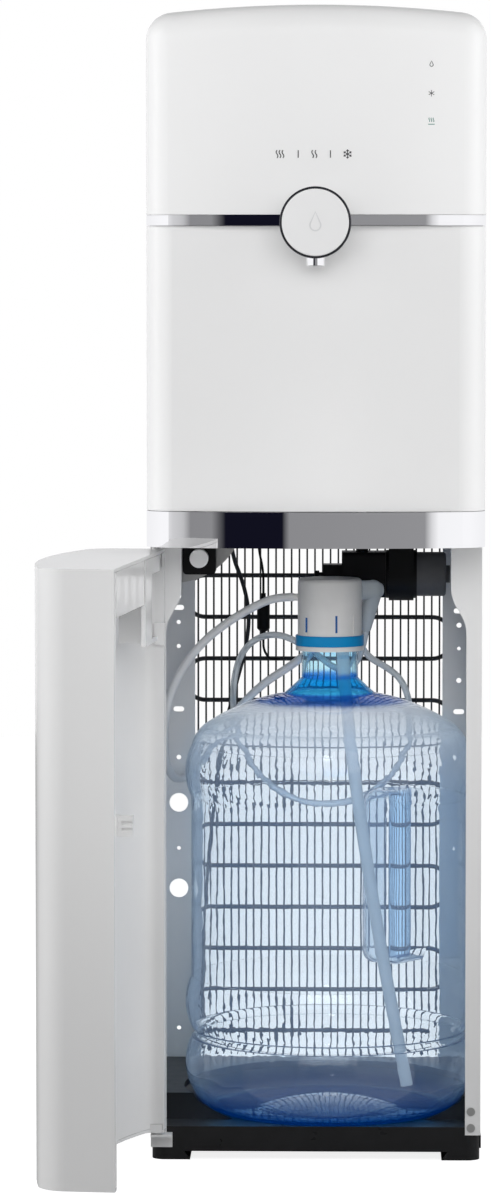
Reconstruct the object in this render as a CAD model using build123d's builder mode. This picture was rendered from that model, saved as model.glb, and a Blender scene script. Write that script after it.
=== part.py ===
"""Bottom load water cooler: steel cabinet, bulged plastic fronts, bottle bay with pump, door on two pins.

Millimetres. The origin lies on the floor under the middle of the cabinet; X right, Y towards the back, Z up.
"""
from build123d import *
from math import cos, pi, radians, sin, sqrt, tan
import os

# ---- cabinet ---------------------------------------------------------------------------------------------
cabinet_width = 310.0
cabinet_depth = 290.0
sheet = 1.0  # folded steel
panel_bottom_z = 24.0
panel_top_z = 1044.0
front_flange = 14.5
gusset_flange = 29.0
gusset_bottom_z = 497.0
gusset_top_z = 540.0
rear_flange = 32.0
fit_gap = 0.3  # between parts that lie beside each other
running_gap = 0.3  # between parts that move
cut_margin = 2.0  # how far a cutter runs past what it cuts
edge_round = 1.2  # on small edges
end_round = 3.0  # on the ends of closed cans

front_y = -cabinet_depth / 2
rear_y = cabinet_depth / 2
side_x = cabinet_width / 2
inner_half = side_x - sheet - fit_gap

# ---- heights of the fronts -------------------------------------------------------------------------------
door_bottom_z = 28.0
door_top_z = 577.0
band_bottom_z = 582.0
band_top_z = 615.5
strip_bottom_z = 877.5
strip_top_z = 887.5
hood_rise = 35.0
hood_top_z = panel_top_z + hood_rise

# ---- bulged plan of the fronts ---------------------------------------------------------------------------
cover_overhang = 1.5  # past the steel sides
cover_side_depth = 68.0
cover_crown_depth = 90.0
panel_crown_depth = 79.0  # the lower front lies a little back in its middle
corner_radius = 28.0
cover_wall = 2.6
trim_wall = 2.0
hood_edge_radius = 25.0
hood_crown_radius = 1400.0
hood_rear_radius = 28.0
light_column_inset = 48.0
light_column_x = side_x - light_column_inset
light_column_half = 16.0
light_column_depth = 34.0
light_column_height = 86.0
light_column_drop = 8.0
light_column_top = panel_top_z - light_column_drop
crown_y = front_y - cover_crown_depth
cover_half = side_x + cover_overhang

# ---- base tray -------------------------------------------------------------------------------------------
base_inset = 0.6
base_half = side_x - base_inset
base_corner_radius = 12.0
runner_width = 36.0
underside_z = 8.0
rear_rim = 34.0
tray_top_z = 51.0
lip_top_z = 31.6
lip_run = 40.0
ramp_run = 34.0
tray_floor_z = 28.0
seat_margin = 14.0  # of the seat's floor round the bottle's foot
seat_clearance = 1.2
seat_height = 17.0
side_clip_bottom_z = 10.0
side_clip_height = 12.0
side_clip_length = 22.0
side_clip_proud = 1.4

# ---- bottle ----------------------------------------------------------------------------------------------
bottle_x = 12.0
bottle_back_of_front = 127.0
bottle_y = front_y + bottle_back_of_front
bottle_ring_radius = 139.0
bottle_body_radius = 133.4
bottle_foot_radius = 108.0
bottle_bottom_z = tray_floor_z + fit_gap
bottle_wall = 1.8
push_up = 11.0
push_up_radius = 70.0
push_up_flat = 10.0
neck_radius = 27.2
neck_top_z = 506.0
neck_foot_z = 446.0
collar_radius = 35.5
collar_z = 438.0
shoulder_start_radius = 44.0
shoulder_top_z = 430.5
shoulder_middle = (90.4, 416.8)
shoulder_edge = (121.5, 399.5)
shoulder_round = (129.4, 390.0)
upper_ring = (381.0, 357.0, 331.0)  # top, middle and foot of each ring
middle_ring = (158.0, 134.0, 108.0)
lower_ring = (99.0, 76.0, 50.0)
ring_edge_radius = 133.0
groove_radius = 129.5
heel = (124.0, 37.0)
handle_turn = 35.0  # from straight behind towards the right
handle_bottom_z = 160.0
handle_top_z = 327.0
handle_width = 47.0
handle_depth = 44.0
handle_round = 12.0
grip_radius = 10.5
grip_inset = 14.0  # of the grip's axis from the body's surface

# ---- cap and straw ---------------------------------------------------------------------------------------
cap_radius = 30.8
cap_top_z = 541.5
cap_top_round = 4.0
cap_roof = 30.0
cap_band_top_z = 487.0
cap_band_bottom_z = 477.0
cap_rim_bottom_z = 472.4
cap_band_radius = 33.0
cap_slot_width = 4.0
cap_slot_depth = 1.2
cap_slot_height = 20.0
cap_slots = 8
nipple_z = 523.0
nipple_length = 4.0
nipple_radius = 3.4
elbow_turn = 20.0  # from straight right towards the back
elbow_z = 529.0
elbow_radius = 9.5
elbow_reach = 44.0  # of its corner from the bottle's axis
elbow_knob_radius = 7.0
elbow_knob_reach = 54.0
elbow_tip_radius = 4.6
elbow_tip_right = 35.0  # of the bottle's axis
elbow_tip_behind = 30.0
elbow_tip_z = 490.0
elbow_tip = (bottle_x + elbow_tip_right, bottle_y + elbow_tip_behind, elbow_tip_z)
straw_radius = 6.0
straw_bore = 4.6
straw_offset = 12.6  # to the right of the bottle's axis

# ---- hoses and cable, both routes chosen by hand ---------------------------------------------------------
hose_radius = 4.0
return_hose_radius = 3.2
cable_radius = 2.0

# ---- ceiling of the bottle bay and shelf -----------------------------------------------------------------
ceiling_z = 586.0  # its underside
ceiling_rim = 14.0
shelf_z = 782.0
pipe_hole_radius = 9.0

# ---- condenser -------------------------------------------------------------------------------------------
tube_radius = 2.2
tube_pitch = 41.5
tube_rows = 14
tube_first_z = 76.5
tube_inset = 21.5
tube_half = side_x - tube_inset
wire_radius = 0.85
wire_pitch = 7.75
wire_count = 2 * round((tube_half - 2 * wire_pitch) / wire_pitch) + 2
wire_bottom_z = 52.0
wire_overrun = 12.0
weld_gap = 0.1
tube_y = rear_y + 9.0
clip_width = 11.0
clip_height = 8.0
clip_slack = 0.5  # for the curve of the bend inside the clip
clip_bends = (0, 1, tube_rows // 2 - 2, tube_rows // 2 + 1, tube_rows - 3)

# ---- drier -----------------------------------------------------------------------------------------------
drier_x = -55.0
drier_y = rear_y - 2.5
drier_radius = 6.4
drier_bottom_z = 478.0
drier_top_z = 510.0
drier_neck = 6.0
capillary_radius = 1.2

# ---- pump ------------------------------------------------------------------------------------------------
pump_behind_bottle = 71.0
pump_y = bottle_y + pump_behind_bottle
pump_z = 541.0
motor_radius = 23.5
motor_length = 30.0
end_cap_radius = 21.5
end_cap_length = 28.5
terminal_radius = 8.5
terminal_length = 4.0
motor_inset = 89.0
motor_left_x = side_x - motor_inset
head_width = 42.5
head_height = 44.0
head_depth = 40.0
head_round = 4.0
step_width = 18.0
step_height = 19.0
step_depth = 26.0
barb_radius = 3.2
barb_length = 11.0
riser_x = motor_left_x - 23.0
outlet_x = motor_left_x - 30.0
outlet_y = pump_y + 9.0
inlet_x = motor_left_x - 52.0
spare_length = 8.0
delivery_radius = 4.0
pump_plate = 2.0
pump_strap_width = 24.0

# ---- door switch -----------------------------------------------------------------------------------------
switch_inset = 45.3
switch_x = switch_inset - side_x
switch_z = 567.5
switch_size = 31.0
switch_round = 4.0
switch_depth = 22.0
switch_face_y = front_y + 10.0
switch_rim = 2.0
plunger_radius = 8.8
plunger_travel = 3.0
plunger_length = 18.0
plunger_head = 2.0
bracket_thickness = 1.5
bracket_left_z = 543.0
bracket_middle = (switch_x + 13.7, 555.0)
bracket_right_x = switch_x + 37.7
bracket_corner_x = switch_x - 19.3

# ---- dial, button and spout ------------------------------------------------------------------------------
dial_z = 880.0
dial_radius = 32.6
dial_depth = 15.0
dial_wall = 1.8
dial_back = 3.0
hub_radius = 11.0
hub_length = 4.0
spindle_radius = 8.0
spindle_length = 4.5
button_travel = 3.0
button_thickness = 3.0
button_skirt = 4.0
button_proud = 0.6
stem_radius = 4.0
stem_length = 4.4
spring_wire = 0.3
spring_turns = 3
faucet_radius = 26.0
faucet_reach = 20.0  # in front of the crown of the upper cover
nozzle_radius = 9.0
nozzle_bore = 5.0
nozzle_bottom_z = 840.0
nozzle_height = 22.0
nozzle_ahead = 11.0  # of the crown

# ---- door ------------------------------------------------------------------------------------------------
door_open_angle = 96.0
door_wall = 3.0
door_back_gap = 1.5
door_corner_cut = 3.0
hinge_inset = 5.0
hinge_ahead = 10.0
pin_radius = 3.0
pin_engagement = 8.0
hinge_boss_radius = 6.5
hinge_plate = 2.0
hinge_plate_width = 20.0
hinge_tab_height = 12.0
liner_depth = 45.0
liner_side_depth = 16.0
liner_corner = 13.0
liner_rib = 8.0
liner_wall = 2.0
top_box_height = 40.0
top_box_gap = 7.2  # beside the arm
top_box_wall = 2.4
arm_inset = 85.0
arm_x = arm_inset - side_x
arm_width = 40.0
arm_bottom_z = 495.0
arm_foot = 34.0
arm_tab = 52.0  # reaches across to press the door switch
arm_thickness = 4.0
arm_reach = 26.0
stop_z = 488.0
stop_height = 21.0
stop_depth = 8.4
stop_proud = 5.0
latch_z = 350.0
latch_height = 18.0
latch_width = 11.0
latch_reach = 12.0
latch_ribs = 3
latch_clearance = 1.2  # for its swing past the flange
latch_rib_depth = 2.4
hinge_x = -side_x + hinge_inset
hinge_y = front_y - hinge_ahead
door_back_y = front_y - door_back_gap

# ---- parts of the upper body -----------------------------------------------------------------------------
cold_tank_inset = 79.0  # of its axis from the side
hot_tank_inset = 77.0
tank_ahead_of_pump = 23.0
cold_tank_x = side_x - cold_tank_inset
hot_tank_x = hot_tank_inset - side_x
tank_y = pump_y - tank_ahead_of_pump
jacket_wall = 22.0
cold_tank_radius = 46.0
cold_tank_height = 160.0
hot_tank_radius = 47.0
hot_tank_height = 130.0
tank_wall = 1.5
tank_foot = 10.0
heater_band_height = 26.0
heater_band_wall = 4.0
compressor_inset = 103.0
compressor_ahead_of_pump = 7.0
compressor_x = compressor_inset - side_x
compressor_y = pump_y - compressor_ahead_of_pump
compressor_radius = 60.0
compressor_height = 128.0
compressor_lift = 12.0
mount_radius = 7.0
mount_square = 56.0
water_pipe_radius = 4.5
faucet_back = 40.0  # inside the cover
pipe_lead = 30.0
pipe_bend_back = 26.0
pipe_bend_out = 22.0
pipe_run = 24.0

# ---- back ------------------------------------------------------------------------------------------------
back_inset = 5.0
back_half = side_x - back_inset
louvre_width = 74.0
louvre_height = 4.0
louvre_pitch = 14.0
louvre_rows = 7
louvre_drop = 92.0  # of their middle from the top
louvre_z = panel_top_z - louvre_drop
rocker_z = 700.0
rocker_pitch = 34.0
rocker_width = 12.0
rocker_height = 20.0
rocker_frame_margin = 3.0
rocker_depth = 14.0
rocker_tilt = 8.0
rocker_pin_radius = 1.6
rocker_pin_inset = 1.0  # of its axis from the back
rocker_pin_grip = 0.8  # into each side of the frame
gland_inset = 59.0
gland_x = side_x - gland_inset
gland_z = 660.0
gland_radius = 8.0
gland_bore = 3.6

# ---- screws ----------------------------------------------------------------------------------------------
screw_inset = 9.0
screw_x = side_x - screw_inset
screw_heights = (30.8, 46.4)
screw_head_radius = 4.0
screw_head = 0.8
screw_radius = 1.8
screw_length = 9.0

os.makedirs("parts", exist_ok=True)


def write(piece, name):
    """Label a finished piece and write its STEP file."""
    piece.part.label = name
    export_step(piece.part, f"parts/{name}.step")


# ---- plans shared by all bulged fronts -------------------------------------------------------------------
def bulged_plan(inset=0.0, crown=cover_crown_depth, back=front_y):
    """Plan of a front: straight sides, rounded corners and one long arc, all drawn in by inset."""
    half = cover_half - inset
    shoulder = front_y - cover_side_depth + inset
    with BuildSketch(mode=Mode.PRIVATE) as plan:
        with BuildLine():
            side = Line((-half, back), (-half, shoulder))
            arc = ThreePointArc(side @ 1, (0, front_y - crown + inset), (half, shoulder))
            Polyline(arc @ 1, (half, back), (-half, back))
        make_face()
        fillet(plan.vertices().group_by(Axis.Y)[0], corner_radius - inset)
    return plan.sketch


def front_shell(bottom, top, wall, crown=cover_crown_depth):
    """A bulged cover of even wall, open at its back."""
    with BuildPart(mode=Mode.PRIVATE) as shell:
        with BuildSketch(Plane.XY.offset(bottom)):
            add(bulged_plan(0, crown))
            add(bulged_plan(wall, crown, front_y + cut_margin), mode=Mode.SUBTRACT)
        extrude(amount=top - bottom)
    return shell.part


def round_bar(radius, y_from, y_to, x=0.0, z=dial_z):
    """Cylinder along Y between two depths."""
    with BuildPart(mode=Mode.PRIVATE) as bar:
        with BuildSketch(Plane.XZ.offset(-max(y_from, y_to))):
            with Locations((x, z)):
                Circle(radius)
        extrude(amount=abs(y_to - y_from))
    return bar.part


def hood_block(inset, bottom):
    """The whole head: bulged in front, rounded behind, with a crowned top and a big edge radius."""
    top = hood_top_z - inset
    with BuildPart(mode=Mode.PRIVATE) as head:
        with BuildSketch(Plane.XY.offset(bottom)) as plan:
            add(bulged_plan(inset, back=rear_y + cover_half - side_x - inset))
            fillet(plan.vertices().group_by(Axis.Y)[-1], hood_rear_radius - inset)
        extrude(amount=top - bottom)
        with BuildSketch(Plane.XZ.offset(-2 * rear_y)):
            with Locations((0, top - hood_crown_radius)):
                Circle(hood_crown_radius)
        extrude(amount=4 * rear_y, mode=Mode.INTERSECT)
        fillet(head.faces().sort_by(Axis.Z)[-1].edges(), hood_edge_radius - inset)
    return head.part


def box_between(low, high):
    """Box by its two corners."""
    size = [b - a for a, b in zip(low, high)]
    with BuildPart(mode=Mode.PRIVATE) as block:
        with Locations(tuple(low)):
            Box(*size, align=(Align.MIN, Align.MIN, Align.MIN))
    return block.part


# ---- routes of hoses -------------------------------------------------------------------------------------
def corner_radii(points):
    """The largest arc that each corner's two runs allow."""
    radii = []
    for before, corner, after in zip(points, points[1:], points[2:]):
        into = Vector(*corner) - Vector(*before)
        out = Vector(*after) - Vector(*corner)
        shorter = min(into.length, out.length)
        radii.append(0.45 * shorter / tan(radians(into.get_angle(out)) / 2))
    return radii


def tube_along(points, radius, bore=0.0):
    """Round tube along straight runs joined by tangent arcs."""
    radii = corner_radii(points)
    with BuildPart(mode=Mode.PRIVATE) as tube:
        with BuildLine() as route:
            FilletPolyline(*points, radius=radii)
        path = route.wire()
        with BuildSketch(Plane(origin=path @ 0, z_dir=path % 0)):
            Circle(radius)
            if bore:
                Circle(bore, mode=Mode.SUBTRACT)
        sweep(path=path)
    section = pi * (radius**2 - bore**2)
    print(f"route {path.length:.0f} mm, tightest arc {min(radii):.1f} mm, "
          f"volume over section times length {tube.part.volume / section / path.length:.4f}")
    return tube.part


# ---- base ------------------------------------------------------------------------------------------------
with BuildPart() as base_tray:
    with BuildSketch() as plinth:
        Rectangle(2 * base_half, cabinet_depth)
        fillet(plinth.vertices().group_by(Axis.Y)[0], base_corner_radius)
    extrude(amount=panel_bottom_z)
    upper_front = front_y + sheet + fit_gap
    with BuildSketch(Plane.XY.offset(panel_bottom_z)):
        with Locations((0, upper_front)):
            Rectangle(2 * inner_half, cabinet_depth - 2 * (sheet + fit_gap), align=(Align.CENTER, Align.MIN))
    extrude(amount=tray_top_z - panel_bottom_z)
    with BuildSketch(Plane.YZ.offset(-side_x)):  # the seat is open and low in front
        with BuildLine():
            low = front_y + lip_run
            Polyline((front_y, lip_top_z), (low, lip_top_z), (low + ramp_run, tray_top_z),
                     (low + ramp_run, tray_top_z + cut_margin), (front_y, tray_top_z + cut_margin),
                     (front_y, lip_top_z))
        make_face()
    extrude(amount=cabinet_width, mode=Mode.SUBTRACT)
    with BuildSketch(Plane.XY.offset(panel_bottom_z)):  # front lip between the two flanges
        with Locations((0, front_y)):
            lip_half = side_x - front_flange - fit_gap
            Rectangle(2 * lip_half, 2 * (sheet + fit_gap), align=(Align.CENTER, Align.MIN))
    extrude(amount=lip_top_z - panel_bottom_z)
    with BuildSketch(Plane.XZ.offset(-bottle_y)):  # conical seat round the bottle's foot
        with BuildLine():
            foot = bottle_foot_radius + seat_margin
            wide = bottle_ring_radius + seat_clearance
            seat_top = tray_floor_z + seat_height
            Polyline((bottle_x, tray_floor_z), (bottle_x + foot, tray_floor_z), (bottle_x + wide, seat_top),
                     (bottle_x + wide, tray_top_z + cut_margin), (bottle_x, tray_top_z + cut_margin),
                     (bottle_x, tray_floor_z))
        make_face()
    revolve(axis=Axis((bottle_x, bottle_y, 0), (0, 0, 1)), mode=Mode.SUBTRACT)
    with BuildSketch() as recess:  # open underside between the runners
        with Locations((0, front_y - cut_margin)):
            Rectangle(2 * (base_half - runner_width), cabinet_depth - rear_rim + cut_margin,
                      align=(Align.CENTER, Align.MIN))
    extrude(amount=underside_z, taper=-35, mode=Mode.SUBTRACT)
    with Locations((-base_half, front_y + side_clip_length, side_clip_bottom_z),
                   (base_half, front_y + side_clip_length, side_clip_bottom_z)):
        Box(2 * side_clip_proud, side_clip_length, side_clip_height,
            align=(Align.CENTER, Align.CENTER, Align.MIN))
write(base_tray, "base_tray")


# ---- folded side panels ----------------------------------------------------------------------------------
flange_hole_inset = 15.7
flange_hole_x = side_x - flange_hole_inset
left_holes = ((512.5, 2.5), (487.0, 2.0), (463.0, 2.0), (352.0, 2.3), (306.6, 9.3), (260.9, 1.8),
              (220.8, 9.3), (80.2, 2.0))
left_slots = (501.5, 400.2)
right_holes = ((484.2, 2.5), (461.0, 1.8), (429.2, 2.5), (352.0, 2.3), (260.9, 1.8), (80.2, 2.0))
right_slots = (498.5, 398.0)
slot_length = 10.6
slot_width = 5.0


def side_panel(hand, holes, slots):
    """Steel side with a front flange that widens at the top of the bay, and a pierced rear flange."""
    height = panel_top_z - panel_bottom_z
    with BuildPart() as panel:
        with Locations((hand * (side_x - sheet / 2), 0, panel_bottom_z)):
            Box(sheet, cabinet_depth, height, align=(Align.CENTER, Align.CENTER, Align.MIN))
        with BuildSketch(Plane.XZ.offset(-front_y)):
            with BuildLine():
                narrow = hand * (side_x - front_flange)
                wide = hand * (side_x - gusset_flange)
                outer = hand * side_x
                bend = (gusset_bottom_z + gusset_top_z) / 2
                Line((narrow, panel_bottom_z), (narrow, gusset_bottom_z))
                Spline((narrow, gusset_bottom_z), (wide, gusset_top_z), tangents=((0, 1), (0, 1)))
                Polyline((wide, gusset_top_z), (wide, panel_top_z), (outer, panel_top_z),
                         (outer, panel_bottom_z), (narrow, panel_bottom_z))
            make_face()
        extrude(amount=-sheet)
        with BuildSketch(Plane.XZ.offset(-rear_y)):
            with Locations((hand * (side_x - rear_flange / 2), panel_bottom_z)):
                Rectangle(rear_flange, height, align=(Align.CENTER, Align.MIN))
            for z, radius in holes:
                with Locations((hand * flange_hole_x, z)):
                    Circle(radius, mode=Mode.SUBTRACT)
            with Locations(*[(hand * flange_hole_x, z) for z in slots]):
                SlotOverall(slot_length, slot_width, mode=Mode.SUBTRACT)
        extrude(amount=sheet)
    return panel


write(side_panel(-1, left_holes, left_slots), "left_side_panel")
write(side_panel(1, right_holes, right_slots), "right_side_panel")


# ---- ceiling of the bay, shelf and back ------------------------------------------------------------------
cable_hole_inset = 67.0
cable_hole_ahead = 45.0  # of the rear
cable_hole = (cable_hole_inset - side_x, rear_y - cable_hole_ahead)
pipe_holes = ((riser_x, pump_y), cable_hole)


def cross_plate(z, rim):
    """Folded plate between the two sides, its rim turned up all round."""
    inner_front = front_y + sheet + fit_gap
    depth = cabinet_depth - 2 * (sheet + fit_gap)
    with BuildPart() as plate:
        with BuildSketch(Plane.XY.offset(z)):
            with Locations((0, inner_front)):
                Rectangle(2 * inner_half, depth, align=(Align.CENTER, Align.MIN))
        extrude(amount=rim)
        with BuildSketch(Plane.XY.offset(z + sheet)):
            with Locations((0, inner_front + sheet)):
                Rectangle(2 * (inner_half - sheet), depth - 2 * sheet, align=(Align.CENTER, Align.MIN))
        extrude(amount=rim, mode=Mode.SUBTRACT)
        with Locations(*[(x, y, z + sheet) for x, y in pipe_holes]):
            Hole(pipe_hole_radius)
    return plate


write(cross_plate(ceiling_z, ceiling_rim), "bay_ceiling")
write(cross_plate(shelf_z, ceiling_rim), "tank_shelf")

with BuildPart() as back_panel:
    with BuildSketch(Plane.XZ.offset(-rear_y)):
        with Locations((0, ceiling_z)):
            Rectangle(2 * back_half, panel_top_z - ceiling_z, align=(Align.CENTER, Align.MIN))
        with Locations((0, louvre_z)):
            with GridLocations(2 * louvre_width * 0.62, louvre_pitch, 2, louvre_rows):
                SlotOverall(louvre_width, louvre_height, mode=Mode.SUBTRACT)
        with Locations((0, rocker_z)):
            with GridLocations(rocker_pitch, 1, 2, 1):
                Rectangle(rocker_width + 2 * fit_gap + rocker_frame_margin,
                          rocker_height + 2 * fit_gap + rocker_frame_margin, mode=Mode.SUBTRACT)
        with Locations((gland_x, gland_z)):
            Circle(gland_radius - 2 * fit_gap - sheet, mode=Mode.SUBTRACT)
    extrude(amount=-sheet)
write(back_panel, "back_panel")

with BuildPart() as cord_gland:
    gland_neck = gland_radius - 3 * fit_gap - sheet
    add(round_bar(gland_radius, rear_y + sheet, rear_y + 3 * sheet, gland_x, gland_z))
    add(round_bar(gland_neck, rear_y - 3 * sheet, rear_y + sheet, gland_x, gland_z))
    chamfer(cord_gland.faces().sort_by(Axis.Y)[-1].edges(), sheet / 2)
    add(round_bar(gland_bore, rear_y - 4 * sheet, rear_y + 4 * sheet, gland_x, gland_z), mode=Mode.SUBTRACT)
write(cord_gland, "cord_gland")


# ---- fronts ----------------------------------------------------------------------------------------------
dial_clearance = round_bar(faucet_radius + fit_gap, front_y, crown_y - cut_margin)

with BuildPart() as bottom_plate:  # closes the fronts from below, over the door
    with BuildSketch(Plane.XY.offset(band_bottom_z)):
        add(bulged_plan(trim_wall + fit_gap))
    extrude(amount=trim_wall)
write(bottom_plate, "bottom_plate")

with BuildPart() as lower_chrome_band:
    add(front_shell(band_bottom_z, band_top_z - fit_gap, trim_wall))
write(lower_chrome_band, "lower_chrome_band")

with BuildPart() as lower_front_panel:
    add(front_shell(band_top_z, strip_bottom_z - fit_gap, cover_wall, panel_crown_depth))
    add(dial_clearance, mode=Mode.SUBTRACT)
write(lower_front_panel, "lower_front_panel")

with BuildPart() as upper_chrome_strip:
    add(front_shell(strip_bottom_z, strip_top_z - fit_gap, trim_wall))
    with BuildSketch(Plane.XY.offset(strip_bottom_z)):  # shelf over the recessed lower front
        add(bulged_plan(trim_wall))
        add(bulged_plan(3 * trim_wall, panel_crown_depth, front_y + cut_margin), mode=Mode.SUBTRACT)
    extrude(amount=trim_wall)
    add(dial_clearance, mode=Mode.SUBTRACT)
write(upper_chrome_strip, "upper_chrome_strip")

hood_shell = hood_block(0, strip_top_z) - hood_block(cover_wall, strip_top_z - cut_margin)

with BuildPart() as upper_front_cover:
    add(hood_shell)
    add(dial_clearance, mode=Mode.SUBTRACT)
    split(bisect_by=Plane.XZ.offset(-front_y), keep=Keep.TOP)
write(upper_front_cover, "upper_front_cover")

with BuildPart() as top_cover:
    add(hood_shell)
    split(bisect_by=Plane.XZ.offset(-front_y - fit_gap), keep=Keep.BOTTOM)
    split(bisect_by=Plane.XY.offset(panel_top_z), keep=Keep.TOP)
write(top_cover, "top_cover")

light_column = box_between((light_column_x - light_column_half, crown_y, light_column_top - light_column_height),
                           (light_column_x + light_column_half, crown_y + light_column_depth, light_column_top))
with BuildPart() as indicator_board:
    add(light_column & hood_block(cover_wall + fit_gap, strip_top_z))
write(indicator_board, "indicator_board")


# ---- faucet, spout, dial and button ----------------------------------------------------------------------
faucet_front = crown_y - faucet_reach
nozzle_y = crown_y - nozzle_ahead
nozzle_top_z = nozzle_bottom_z + nozzle_height


def upright_bar(radius, bottom, top, x, y):
    """Cylinder along Z."""
    with BuildPart(mode=Mode.PRIVATE) as bar:
        with BuildSketch(Plane.XY.offset(bottom)):
            with Locations((x, y)):
                Circle(radius)
        extrude(amount=top - bottom)
    return bar.part


with BuildPart() as faucet_body:
    add(round_bar(faucet_radius, front_y - faucet_back, faucet_front))
    chamfer(faucet_body.faces().sort_by(Axis.Y)[0].edges(), edge_round)
    add(round_bar(spindle_radius, faucet_front, faucet_front - spindle_length))
    add(upright_bar(nozzle_radius + fit_gap, nozzle_bottom_z, nozzle_top_z + fit_gap, 0, nozzle_y),
        mode=Mode.SUBTRACT)
    add(upright_bar(nozzle_bore, nozzle_top_z, dial_z + nozzle_bore, 0, nozzle_y), mode=Mode.SUBTRACT)
write(faucet_body, "faucet_body")

with BuildPart() as nozzle:
    add(upright_bar(nozzle_radius, nozzle_bottom_z, nozzle_top_z, 0, nozzle_y))
    fillet(nozzle.faces().sort_by(Axis.Z)[0].edges(), edge_round)
    add(upright_bar(nozzle_bore, nozzle_bottom_z, nozzle_top_z, 0, nozzle_y), mode=Mode.SUBTRACT)
write(nozzle, "nozzle")

dial_back_y = faucet_front - running_gap
dial_front_y = dial_back_y - dial_depth
hub_front_y = dial_back_y - dial_back - hub_length
with BuildPart() as dial_ring:
    add(round_bar(dial_radius, dial_back_y, dial_front_y))
    fillet(dial_ring.faces().sort_by(Axis.Y)[0].edges(), edge_round)
    add(round_bar(dial_radius - dial_wall, dial_back_y - dial_back, dial_front_y - cut_margin), mode=Mode.SUBTRACT)
    add(round_bar(hub_radius, dial_back_y, hub_front_y))
    add(round_bar(spindle_radius + running_gap, dial_back_y + cut_margin, dial_front_y), mode=Mode.SUBTRACT)
write(dial_ring, "dial_ring")

button_front_y = dial_front_y - button_proud
button_back_y = button_front_y + button_thickness
with BuildPart() as dispense_button:
    face_radius = dial_radius - dial_wall - running_gap
    add(round_bar(face_radius, button_front_y, button_back_y + button_skirt))
    fillet(dispense_button.faces().sort_by(Axis.Y)[0].edges(), edge_round)
    add(round_bar(face_radius - trim_wall, button_back_y, button_back_y + button_skirt + cut_margin),
        mode=Mode.SUBTRACT)
    add(round_bar(stem_radius, button_back_y, button_back_y + stem_length))
write(dispense_button, "dispense_button")

with BuildPart() as button_spring:
    spring_radius = (hub_radius + spindle_radius + running_gap) / 2
    spring_front = button_back_y + spring_wire + weld_gap
    spring_back = hub_front_y - spring_wire - weld_gap
    with BuildLine() as coil:
        Helix((spring_back - spring_front) / spring_turns, spring_back - spring_front, spring_radius,
              center=(0, spring_front, dial_z), direction=(0, 1, 0))
    path = coil.wire()
    with BuildSketch(Plane(origin=path @ 0, z_dir=path % 0)):
        RegularPolygon(spring_wire, 6)
    sweep(path=path, is_frenet=True)
write(button_spring, "button_spring")


# ---- bottle ----------------------------------------------------------------------------------------------
def bottle_body(inset):
    """Revolved outer form of the bottle, drawn in by inset for its inside."""
    def place(radius, z):
        return (bottle_x + radius - inset, z)

    foot_z = bottle_bottom_z + inset
    top = neck_top_z + (cut_margin if inset else 0)
    top_z, middle_z, foot_ring_z = upper_ring
    with BuildPart(mode=Mode.PRIVATE) as body:
        with BuildSketch(Plane.XZ.offset(-bottle_y)):
            with BuildLine():
                Polyline((bottle_x, top), place(neck_radius, top), place(neck_radius, neck_foot_z))
                Line(place(neck_radius, neck_foot_z), place(collar_radius, collar_z))
                Line(place(collar_radius, collar_z), place(shoulder_start_radius, shoulder_top_z - inset))
                ThreePointArc(place(shoulder_start_radius, shoulder_top_z - inset),
                              place(shoulder_middle[0], shoulder_middle[1] - inset),
                              place(shoulder_edge[0], shoulder_edge[1] - inset))
                ThreePointArc(place(shoulder_edge[0], shoulder_edge[1] - inset),
                              place(*shoulder_round), place(ring_edge_radius, top_z))
                ThreePointArc(place(ring_edge_radius, top_z), place(bottle_ring_radius, middle_z),
                              place(bottle_body_radius, foot_ring_z))
                Line(place(bottle_body_radius, foot_ring_z), place(bottle_body_radius, middle_ring[0]))
                ThreePointArc(place(bottle_body_radius, middle_ring[0]), place(bottle_ring_radius, middle_ring[1]),
                              place(ring_edge_radius, middle_ring[2]))
                groove_z = (middle_ring[2] + lower_ring[0]) / 2
                ThreePointArc(place(ring_edge_radius, middle_ring[2]), place(groove_radius, groove_z),
                              place(ring_edge_radius, lower_ring[0]))
                ThreePointArc(place(ring_edge_radius, lower_ring[0]), place(bottle_ring_radius, lower_ring[1]),
                              place(ring_edge_radius, lower_ring[2]))
                ThreePointArc(place(ring_edge_radius, lower_ring[2]), place(*heel),
                              place(bottle_foot_radius, foot_z))
                Line(place(bottle_foot_radius, foot_z), place(push_up_radius + 2 * inset, foot_z))
                ThreePointArc(place(push_up_radius + 2 * inset, foot_z),
                              (bottle_x + push_up_radius / 2, foot_z + push_up * 0.75),
                              (bottle_x + push_up_flat, foot_z + push_up))
                Line((bottle_x + push_up_flat, foot_z + push_up), (bottle_x, foot_z + push_up))
                Line((bottle_x, foot_z + push_up), (bottle_x, top))
            make_face()
        revolve(axis=Axis((bottle_x, bottle_y, 0), (0, 0, 1)))
    return body.part


def handle_plane(radial):
    """Upright plane across the handle, at a distance from the bottle's axis."""
    out = Vector(sin(radians(handle_turn)), cos(radians(handle_turn)), 0)
    origin = Vector(bottle_x, bottle_y, 0) + out * radial
    return Plane(origin=origin, x_dir=Vector(0, 0, 1).cross(out), z_dir=out)


def handle_pocket(grow):
    """The recess behind the grip, with rounded edges, grown by the wall for the bottle's inside."""
    height = handle_top_z - handle_bottom_z
    with BuildPart(mode=Mode.PRIVATE) as pocket:
        with BuildSketch(handle_plane(bottle_body_radius - handle_depth - grow)):
            with Locations((0, (handle_top_z + handle_bottom_z) / 2)):
                RectangleRounded(handle_width + 2 * grow, height + 2 * grow, handle_round)
        extrude(amount=handle_depth + grow + 4 * cut_margin)
        fillet(pocket.faces().sort_by(Axis(handle_plane(0).origin, handle_plane(0).z_dir))[0].edges(),
               handle_round / 2)
    return pocket.part


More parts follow.
